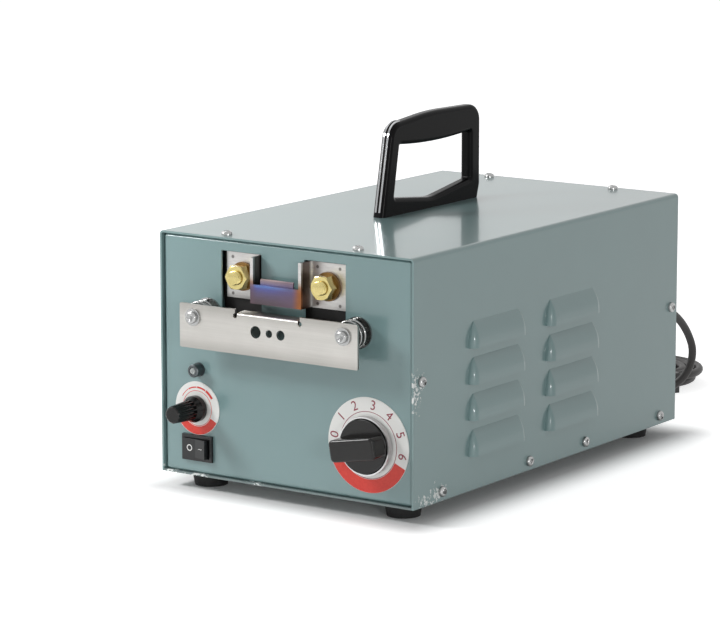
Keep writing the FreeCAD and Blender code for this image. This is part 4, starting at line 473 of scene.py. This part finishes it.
# Each wall of the hat cools upwards and towards its end plate
wall_low, wall_rise, wall_depth = 0.1215, 0.011, 0.0105
rise = sums(tree, "DIVIDE", sums(tree, "SUBTRACT", axes["Z"], wall_low), wall_rise)
depth = sums(tree, "DIVIDE", sums(tree, "SUBTRACT", axes["Y"], bar_face), wall_depth)
wall = eased(tree, sums(tree, "ABSOLUTE", aside), 0.0148, 0.0156)
cooled = sums(tree, "ADD", sums(tree, "MAXIMUM", rise, 0), sums(tree, "MAXIMUM", depth, 0))
cooled = sums(tree, "MULTIPLY", eased(tree, cooled, 0.05, 1.0), wall)
silver = ramp_of(tree, cooled, [(0.0, (150, 100, 72)), (0.45, (158, 128, 108)), (0.75, (196, 188, 180)),
                                (1.0, (216, 215, 213))])
temper_and_highlight = tinted(tree, sums(tree, "MINIMUM", sums(tree, "MULTIPLY", cooled, 2.2), 1), temper_and_highlight, silver)
oxide = sums(tree, "SUBTRACT", eased(tree, depth, 0.10, 0.18), eased(tree, depth, 0.70, 0.97))
oxide = sums(tree, "MULTIPLY", sums(tree, "MULTIPLY", oxide, wall), 0.85)
temper_and_highlight = tinted(tree, oxide, temper_and_highlight, tone(84, 62, 50))
temper_and_highlight = tinted(tree, sums(tree, "MULTIPLY", rub["Streak"], 0.46), temper_and_highlight, tone(78, 70, 70))
# Punch marks at the corners of both end plates
stud_half, mark_across, mark_aloft = (stud_right - stud_left) / 2, 0.0076, 0.0104
across = sums(tree, "SUBTRACT", apart(tree, sums(tree, "ABSOLUTE", aside), stud_half), mark_across)
aloft = sums(tree, "SUBTRACT", apart(tree, axes["Z"], stud_height), mark_aloft)
squares = sums(tree, "ADD", sums(tree, "MULTIPLY", across, across), sums(tree, "MULTIPLY", aloft, aloft))
punched = share(tree, sums(tree, "SQRT", squares), 0.0012, 0.0007)
temper_and_highlight = tinted(tree, sums(tree, "MULTIPLY", punched, 0.75), temper_and_highlight, tone(70, 66, 62))
tree.links.new(temper_and_highlight, shader["Base Color"])
tree.links.new(spread(tree, rub["Smear"], 0.285, 0.42), shader["Roughness"])
raised(tree, shader, sums(tree, "SUBTRACT", rub["Streak"], punched), 0.08, 0.0001)
dress(tempered_and_highlit, "heating_blade")
# Painted shadow: a dark brown patch laid on the enamel under the guide plate, where the plate shades the
# panel
tree = front_coat.node_tree
shade_middle, shade_wide, shade_high = (-0.018, 0, 0.1015), 0.034, 0.0175
off_middle = vectors(tree, "SUBTRACT", place_on(tree), shade_middle)
outwards = vectors(tree, "LENGTH", vectors(tree, "MULTIPLY", off_middle, (1 / shade_wide, 0, 1 / shade_high)))
# Painted shade behind the guide plate, darkest in its middle
painted_shade_behind_guide = sums(tree, "MULTIPLY", eased(tree, outwards, 1.0, 0.25), 0.92)
overlaid(front_coat, painted_shade_behind_guide, tone(38, 35, 31))

# Guide plate: 1.5 mm stainless strip, brushed along its length, with a folded lip and three plain holes. It
# is pushed back along its two screws. Painted shade darkens its long edges, standing for darker reflections
# there, so its middle stays brighter.
steel = metal("brushed_stainless", tone(170, 168, 164), tone(211, 209, 204), (0.285, 0.40), (26, 900, 1500),
              0.05)
shader_of(steel)["Anisotropic"].default_value = 0.3
tree = steel.node_tree
plate_middle, plate_half, unshaded_half = 0.0991, 0.0128, 0.004
height = put(tree, "ShaderNodeSeparateXYZ", {"Vector": place_on(tree)}).outputs["Z"]
# Painted shade towards the plate's top and bottom edges
painted_edge_shade = sums(tree, "MULTIPLY", eased(tree, apart(tree, height, plate_middle), unshaded_half, plate_half), 0.45)
overlaid(steel, painted_edge_shade, tone(134, 131, 126))
dress(steel, "guide_plate")


# Guide screws, washers and springs: plated M4 pan heads through the plate into nuts behind the panel, each
# with a spring coiled from 1.6 mm wire that pushes the plate forwards.
def wound_spring(coil_radius, wire_radius, turns, length):
    """Round wire carried round the Z axis while it climbs."""
    spring = bmesh.new()
    upright = Matrix.Translation((coil_radius, 0, 0)) @ Matrix.Rotation(math.radians(90), 4, "X")
    section = bmesh.ops.create_circle(spring, segments=14, radius=wire_radius, matrix=upright)["verts"]
    ring = list({edge for vert in section for edge in vert.link_edges})
    steps = int(turns * 40)
    bmesh.ops.spin(spring, geom=section + ring, axis=(0, 0, 1), cent=(0, 0, 0), dvec=(0, 0, length / steps),
                   angle=turns * math.tau, steps=steps)
    bmesh.ops.holes_fill(spring, edges=open_edges(spring), sides=0)
    return spring


pin_left, pin_right, pin_height = -0.0533, 0.0497, 0.1043
spots = [facing(x, -0.14725, pin_height, "X", 90, turn) for x, turn in ((pin_left, 18), (pin_right, 4))]
pins = repeated(pan_screw(0.0035, 0.0022, 0.002, 0.0264), spots)
guide_pins = piece("guide_screw_pair", pins, zinc)
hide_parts("guide_screws")
dress(zinc, "guide_washers", "guide_nuts")
spots = [facing(x, -0.1439, pin_height, "X", -90) for x in (pin_left, pin_right)]
spring_wire = metal("spring_wire", tone(100, 101, 102), tone(194, 194, 192), (0.16, 0.265), (300, 300, 300))
coils = repeated(wound_spring(0.0076, 0.0008, 2.75, 0.0106), spots)
springs = piece("wound_springs", coils, spring_wire)
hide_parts("guide_springs")
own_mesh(springs)


# Temperature selector: a printed white disc under a black bar-grip knob on a rotary switch. The print is
# numbers from 0 to 6, a hairline ring and a red sector under the knob's travel.
def ink(name, thick, thin):
    """Printing ink, a little uneven where it has been laid."""
    material, tree, shader, place = finish(name, thick, 0, 0.4)
    tree.links.new(tinted(tree, peeled(tree, place, 900)["Height"], thick, thin), shader["Base Color"])
    return material


def band(shape, inner, outer, start, sweep):
    """Flat arc between two radii, from an angle and through a sweep."""
    across, along = math.cos(math.radians(start)), math.sin(math.radians(start))
    ends = [shape.verts.new((radius * across, radius * along, 0)) for radius in (inner, outer)]
    bmesh.ops.spin(shape, geom=ends + [shape.edges.new(ends)], axis=(0, 0, 1), cent=(0, 0, 0),
                   angle=math.radians(sweep), steps=max(8, int(abs(sweep) / 4)), use_merge=abs(sweep) == 360)
    return shape


def laid_on(shape, depth):
    """Give flat print its thickness along +Z."""
    bmesh.ops.recalc_face_normals(shape, faces=shape.faces[:])
    lifted = bmesh.ops.extrude_face_region(shape, geom=shape.faces[:], use_keep_orig=True)
    bmesh.ops.translate(shape, verts=points_in(lifted), vec=(0, 0, depth))
    return shape


def figure(shape, text, size, radius, angle):
    """Number on a dial, its head outwards."""
    letter = bpy.data.curves.new("figure", "FONT")
    letter.body, letter.size, letter.align_x, letter.align_y = text, size, "CENTER", "CENTER"
    holder = bpy.data.objects.new("figure", letter)
    flat = bpy.data.meshes.new_from_object(holder)
    start = len(shape.verts)
    shape.from_mesh(flat)
    spot = Matrix.Rotation(math.radians(angle - 90), 4, "Z") @ Matrix.Translation((0, radius, 0))
    bmesh.ops.transform(shape, verts=shape.verts[start:], matrix=spot)
    bpy.data.objects.remove(holder)
    bpy.data.curves.remove(letter)
    bpy.data.meshes.remove(flat)


def dial_print(name, shape, colour, middle):
    """Make flat print a piece on a dial: its right is the panel's +X and its top is +Z."""
    dial_front, print_depth = -0.13175, 0.00005
    x, z = middle
    laid_on(shape, print_depth)
    bmesh.ops.transform(shape, verts=shape.verts[:], matrix=facing(x, dial_front, z, "X", 90))
    piece(name, shape, colour)


dial_white = moulded("dial_white", tone(232, 232, 229), tone(238, 238, 235), (0.3, 0.42), 350, 0.04)
dress(dial_white, "temperature_dial", "time_dial")
print_red = ink("print_red", tone(204, 44, 36), tone(226, 70, 56))
print_maroon = ink("print_maroon", tone(120, 24, 46), tone(150, 42, 62))
temperature_middle = (0.0563, 0.0418)
scale = bmesh.new()
for text, angle in zip("0123456", (171.4, 142, 113.7, 82, 52.4, 21.4, -9.8)):
    figure(scale, text, 0.0078, 0.0228, angle)
band(scale, 0.01875, 0.0191, 0, 360)
dial_print("temperature_figures", scale, print_maroon, temperature_middle)
sector = band(bmesh.new(), 0.0193, 0.0269, 185.7, 150.3)
dial_print("temperature_sector", sector, print_red, temperature_middle)
knob_black = moulded("knob_plastic", tone(11, 10, 10), tone(19, 17, 16), (0.14, 0.24), 500, 0.05)
shader_of(knob_black)["Specular IOR Level"].default_value = 0.35
dress(knob_black, "temperature_knob")
ring_plate = metal("knob_ring_plate", tone(170, 171, 172), tone(226, 226, 226), (0.285, 0.4), (200, 200, 200))
dress(ring_plate, "knob_ring")
dress(brass, "temperature_shaft", "time_shaft")
dress(zinc, "selector_nut", "pot_nut")
switch_body = moulded("switch_body", tone(38, 38, 40), tone(56, 56, 58), (0.45, 0.6), 400)
dress(switch_body, "temperature_switch", "time_pot")

# Time control: a smaller printed disc and a tall fluted knob on a potentiometer. Red arcs thicken from the
# left to the right to show the longer time.
time_middle = (-0.0621, 0.0483)
marks = band(bmesh.new(), 0.0100, 0.0103, 0, 360)
for start, inner, outer in ((150, 0.0119, 0.0123), (120, 0.0118, 0.0125), (90, 0.0117, 0.0127),
                            (60, 0.0116, 0.0130)):
    band(marks, inner, outer, start, -28)
dial_print("time_marks", marks, print_red, time_middle)
sector = band(bmesh.new(), 0.0106, 0.0153, 200, 132)
dial_print("time_sector", sector, print_red, time_middle)
dress(knob_black, "time_knob")

# Rocker switch: black snap-in housing and rocker, with a ring pressed for off and a bar for on, filled in
# white. The marks lie on the rocker's two slopes.
switch_black = moulded("switch_black", tone(13, 14, 16), tone(22, 23, 25), (0.3, 0.42), 600, 0.08)
dress(switch_black, "rocker_housing", "rocker")
mark_white = moulded("mark_white", tone(226, 226, 224), tone(240, 240, 238), (0.4, 0.5), 600)
pivot = facing(-0.0618, -0.13105, 0.0252, "Z", -7)
rocker_half, crest, dip, mark_depth = 0.0081, 0.0040, 0.0009, 0.00006


def on_rocker(offset):
    """Place of a mark on one slope of the rocker's face."""
    out = -crest + dip * (rocker_half - abs(offset)) / rocker_half
    slope = math.copysign(math.atan2(dip, rocker_half), offset)
    return (pivot @ Matrix.Translation((offset, out, 0)) @ Matrix.Rotation(-slope, 4, "Z")
            @ Matrix.Rotation(math.radians(90), 4, "X"))


signs = laid_on(band(bmesh.new(), 0.00135, 0.0019, 0, 360), mark_depth)
bmesh.ops.transform(signs, verts=signs.verts[:], matrix=on_rocker(-0.0040))
bar = bmesh.ops.create_grid(signs, x_segments=2, y_segments=1, size=1,
                            matrix=on_rocker(0.0042) @ Matrix.Diagonal((0.0016, 0.00028, 1, 1)))["verts"]
bmesh.ops.solidify(signs, geom=list({face for vert in bar for face in vert.link_faces}), thickness=mark_depth)
piece("rocker_marks", signs, mark_white, "mains_rocker")

# Pilot lamp: turned and plated bezel pushed through the panel, with a clear domed lens of moulded plastic
# seated in it.
bezel_plate = metal("lamp_bezel_plate", tone(64, 68, 70), tone(112, 118, 120), (0.3, 0.45), (300, 300, 300))
dress(bezel_plate, "lamp_bezel")
lens_clear, tree, shader, place = finish("lens_clear", tone(206, 214, 212), 0, 0.08)
tree.links.new(tinted(tree, peeled(tree, place, 260)["Cloud"], tone(188, 198, 198), tone(226, 232, 230)),
               shader["Base Color"])
shader["Transmission Weight"].default_value = 0.45
dress(lens_clear, "lamp_lens")

# Timer board: a green fibreglass board screwed on four pillars that stand on the tray. It carries the relay,
# the screw terminals and a glass fuse.
dress(moulded("board_green", tone(34, 92, 58), tone(52, 118, 78), (0.3, 0.45), 400), "control_board")
dress(moulded("relay_case", tone(28, 60, 130), tone(40, 76, 150), (0.3, 0.4), 400), "timer_relay")
dress(moulded("terminal_green", tone(46, 120, 78), tone(70, 146, 100), (0.4, 0.5), 400), "wire_terminals")
dress(zinc, "board_pillars", "board_screws", "fuse_link")

# Lead exit: black nylon gland screwed through the rear panel, and a soft sleeve that tapers with rings cut in
# it so that the cord can't kink.
gland_nylon = moulded("gland_nylon", tone(24, 24, 25), tone(38, 38, 38), (0.4, 0.52), 700)
dress(gland_nylon, "cord_gland", "gland_nut")
exit_x, exit_z, sleeve_start, sleeve_end = 0.050, 0.071, 0.15875, 0.18475
root, tip, bore, rings = 0.0050, 0.0034, 0.0026, 6
profile = [(bore, sleeve_start), (root, sleeve_start)]
for ring in range(rings):
    for part_way, cut in ((0.30, 0), (0.38, 0.0007), (0.62, 0.0007), (0.70, 0)):
        run = 0.15 + 0.75 * (ring + part_way) / rings
        profile.append((root + (tip - root) * run - cut, sleeve_start + (sleeve_end - sleeve_start) * run))
profile += [(tip, sleeve_end - 0.0006), (tip - 0.0005, sleeve_end), (bore, sleeve_end)]
sleeve = bmesh.new()
points = [sleeve.verts.new((exit_x + out, along, exit_z)) for out, along in profile]
outline = [sleeve.edges.new(pair) for pair in zip(points, points[1:] + points[:1])]
bmesh.ops.spin(sleeve, geom=points + outline, axis=(0, 1, 0), cent=(exit_x, 0, exit_z), angle=math.tau,
               steps=32, use_merge=True)
relief = piece("strain_relief", sleeve, gland_nylon)
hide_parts("cord_sleeve")

# Mains lead: round black-brown flexible cord, 5 mm thick. It leaves the sleeve, falls to the bench, and its
# spare length lies in a tied coil of six turns in two layers with the plug beside it.
route = [(exit_x, 0.16925, exit_z), (exit_x, 0.19575, exit_z), (exit_x, 0.22075, 0.0598),
         (exit_x, 0.23675, 0.0455), (exit_x, 0.24415, 0.0311), (0.0438, 0.24495, 0.0148),
         (0.0283, 0.24485, 0.0038)]
coil_x, coil_y, layer_low, layer_high = -0.008, 0.28085, 0.0038, 0.0093
coil_wide, coil_narrow, half_turn_step = 0.036, 0.022, 0.0028
halves_in, halves_up, turns, points_in_turn, lead_in = 5, 6, 6, 16, 0.0179
for count in range(-1, turns * points_in_turn + 1):
    half_turns = max(0, count) * 2 / points_in_turn
    if half_turns <= halves_in:
        reach, height = coil_wide - half_turn_step * half_turns, layer_low
    elif half_turns <= halves_up:
        reach = coil_narrow - half_turn_step * (0.5 - abs(half_turns - halves_in - 0.5))
        height = layer_low + (layer_high - layer_low) * (half_turns - halves_in)
    else:
        reach, height = coil_narrow + half_turn_step * (half_turns - halves_up), layer_high
    angle = -math.pi / 2 - math.pi * half_turns
    route.append((coil_x + reach * math.cos(angle) + (lead_in if count < 0 else 0),
                  coil_y + reach * math.sin(angle), height))
route += [(x, 0.24205, layer_high) for x in (-0.022, -0.034, -0.044)]
lead_line = bpy.data.curves.new("mains_lead", "CURVE")
lead_line.dimensions = "3D"
lead_line.bevel_depth = 0.0025
lead_line.bevel_resolution = 5
lead_line.use_fill_caps = True
spline = lead_line.splines.new("NURBS")
spline.points.add(len(route) - 1)
for point, spot in zip(spline.points, route):
    point.co = (*spot, 1)
spline.order_u = 3
spline.use_endpoint_u = True
spline.resolution_u = 6
lead = bpy.data.objects.new("mains_lead", lead_line)
bpy.context.scene.collection.objects.link(lead)
cord_skin = moulded("cord_sheath", tone(16, 13, 12), tone(30, 25, 23), (0.4, 0.56), 1200, 0.12)
lead_line.materials.append(cord_skin)
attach(lead, "cabinet")
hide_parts("mains_cord", "cord_coil")
dress(moulded("tie_plastic", tone(30, 30, 31), tone(46, 46, 47), (0.35, 0.5), 500), "cord_tie")
dress(moulded("plug_plastic", tone(24, 23, 23), tone(38, 37, 36), (0.4, 0.55), 800), "plug_body")
pin_brass = metal("pin_brass", tone(196, 172, 110), tone(232, 216, 168), (0.18, 0.265), (30, 300, 300))
dress(pin_brass, "plug_pins")


# Studio: a white bench top in a white cove, which the camera, reflections and clear pieces see as plain
# white. The cove lights the object softly from above and from the right of the front. A broad lamp stands to
# the left, a small one close to the left of the front and another beside the camera.
def backdrop_rays(tree):
    """1 for the rays that show the backdrop: from the camera, off bright pieces and through clear ones."""
    rays = put(tree, "ShaderNodeLightPath").outputs
    mirrored = sums(tree, "MAXIMUM", rays["Is Glossy Ray"], rays["Is Transmission Ray"])
    return sums(tree, "MAXIMUM", rays["Is Camera Ray"], mirrored)


bench = bmesh.new()
bmesh.ops.create_grid(bench, x_segments=1, y_segments=1, size=7)
bench_mesh = bpy.data.meshes.new("bench")
bench.to_mesh(bench_mesh)
bench.free()
bench_top = bpy.data.objects.new("bench", bench_mesh)
bpy.context.scene.collection.objects.link(bench_top)
bench_white, tree, shader, place = finish("bench_white", tone(247, 247, 247), 0, 0.8)
bench_mesh.materials.append(bench_white)
# The bench shines a little, less where the small lamp falls on it. Its shine fades out within a few
# centimetres
# of the cabinet and is gone under it: a painted shadow round the cabinet's foot
case_middle, case_half = (0, (case_front + case_rear) / 2, 0), (half_width, (case_rear - case_front) / 2, 0)
off_middle = vectors(tree, "ABSOLUTE", vectors(tree, "SUBTRACT", place, case_middle))
clear = vectors(tree, "MAXIMUM", vectors(tree, "SUBTRACT", off_middle, case_half), (0, 0, 0))
# Painted shadow: the shine is cut off near the cabinet's footprint
past_painted_shadow = eased(tree, vectors(tree, "LENGTH", clear), -0.004, 0.032)
pool = vectors(tree, "DISTANCE", place, (-0.33, -0.30, 0))
glow = sums(tree, "MULTIPLY", spread(tree, eased(tree, pool, 0.12, 0.36), 0.15, 0.74), past_painted_shadow)
shader["Emission Color"].default_value = (1, 1, 1, 1)
tree.links.new(sums(tree, "MULTIPLY", backdrop_rays(tree), glow), shader["Emission Strength"])
sky = bpy.data.worlds.new("studio")
sky.use_nodes = True
bpy.context.scene.world = sky
tree = sky.node_tree
outlook = put(tree, "ShaderNodeTexCoord").outputs["Generated"]
way = put(tree, "ShaderNodeSeparateXYZ", {"Vector": outlook}).outputs
right_front = sums(tree, "MULTIPLY", eased(tree, way["X"], -0.3, 0.5), eased(tree, way["Y"], 0.3, -0.5))
walls = spread(tree, right_front, 0.08, 0.6)
cove = put(tree, "ShaderNodeMix", {0: eased(tree, way["Z"], 0.3, 0.7), 2: walls, 3: 0.3}).outputs[0]
tree.nodes["Background"].inputs["Color"].default_value = (1, 1, 1, 1)
tree.links.new(sums(tree, "MAXIMUM", cove, backdrop_rays(tree)), tree.nodes["Background"].inputs["Strength"])
aim = Vector((0, 0, 0.08))
for name, spot, size, power in (("key_lamp", (-1.35, 0.35, 0.95), 1.9, 8),
                                ("front_lamp", (-0.40, -0.41, 0.40), 0.16, 2.25),
                                ("camera_lamp", (1.75, -1.30, 0.35), 0.24, 6.8)):
    lamp = bpy.data.lights.new(name, "AREA")
    lamp.size, lamp.energy = size, power
    holder = bpy.data.objects.new(name, lamp)
    bpy.context.scene.collection.objects.link(holder)
    holder.location = spot
    holder.rotation_euler = (aim - Vector(spot)).to_track_quat("-Z", "Y").to_euler()

# Camera: to the right of the front and a little above the cabinet, with a long lens. The lens is shifted, so
# that the object stands a little to the right of the middle.
azimuth, elevation, roll = (math.radians(angle) for angle in (33.6892518, 10.8200437, 0.1768))
behind = Vector((math.sin(azimuth) * math.cos(elevation), -math.cos(azimuth) * math.cos(elevation),
                 math.sin(elevation)))
right = Vector((math.cos(azimuth), math.sin(azimuth), 0))
above = behind.cross(right)
tilted_right = right * math.cos(roll) + above * math.sin(roll)
tilted_above = above * math.cos(roll) - right * math.sin(roll)
view = bpy.data.cameras.new("camera")
view.lens, view.sensor_width = 175.875, 36
view.shift_x, view.shift_y = -0.0937, 0.0097
camera = bpy.data.objects.new("camera", view)
bpy.context.scene.collection.objects.link(camera)
stand = Matrix.Translation((1.1338, -1.68955, 0.4697))
camera.matrix_world = stand @ Matrix((tilted_right, tilted_above, behind)).transposed().to_4x4()
bpy.context.scene.camera = camera
bpy.context.scene.view_settings.view_transform = "Standard"
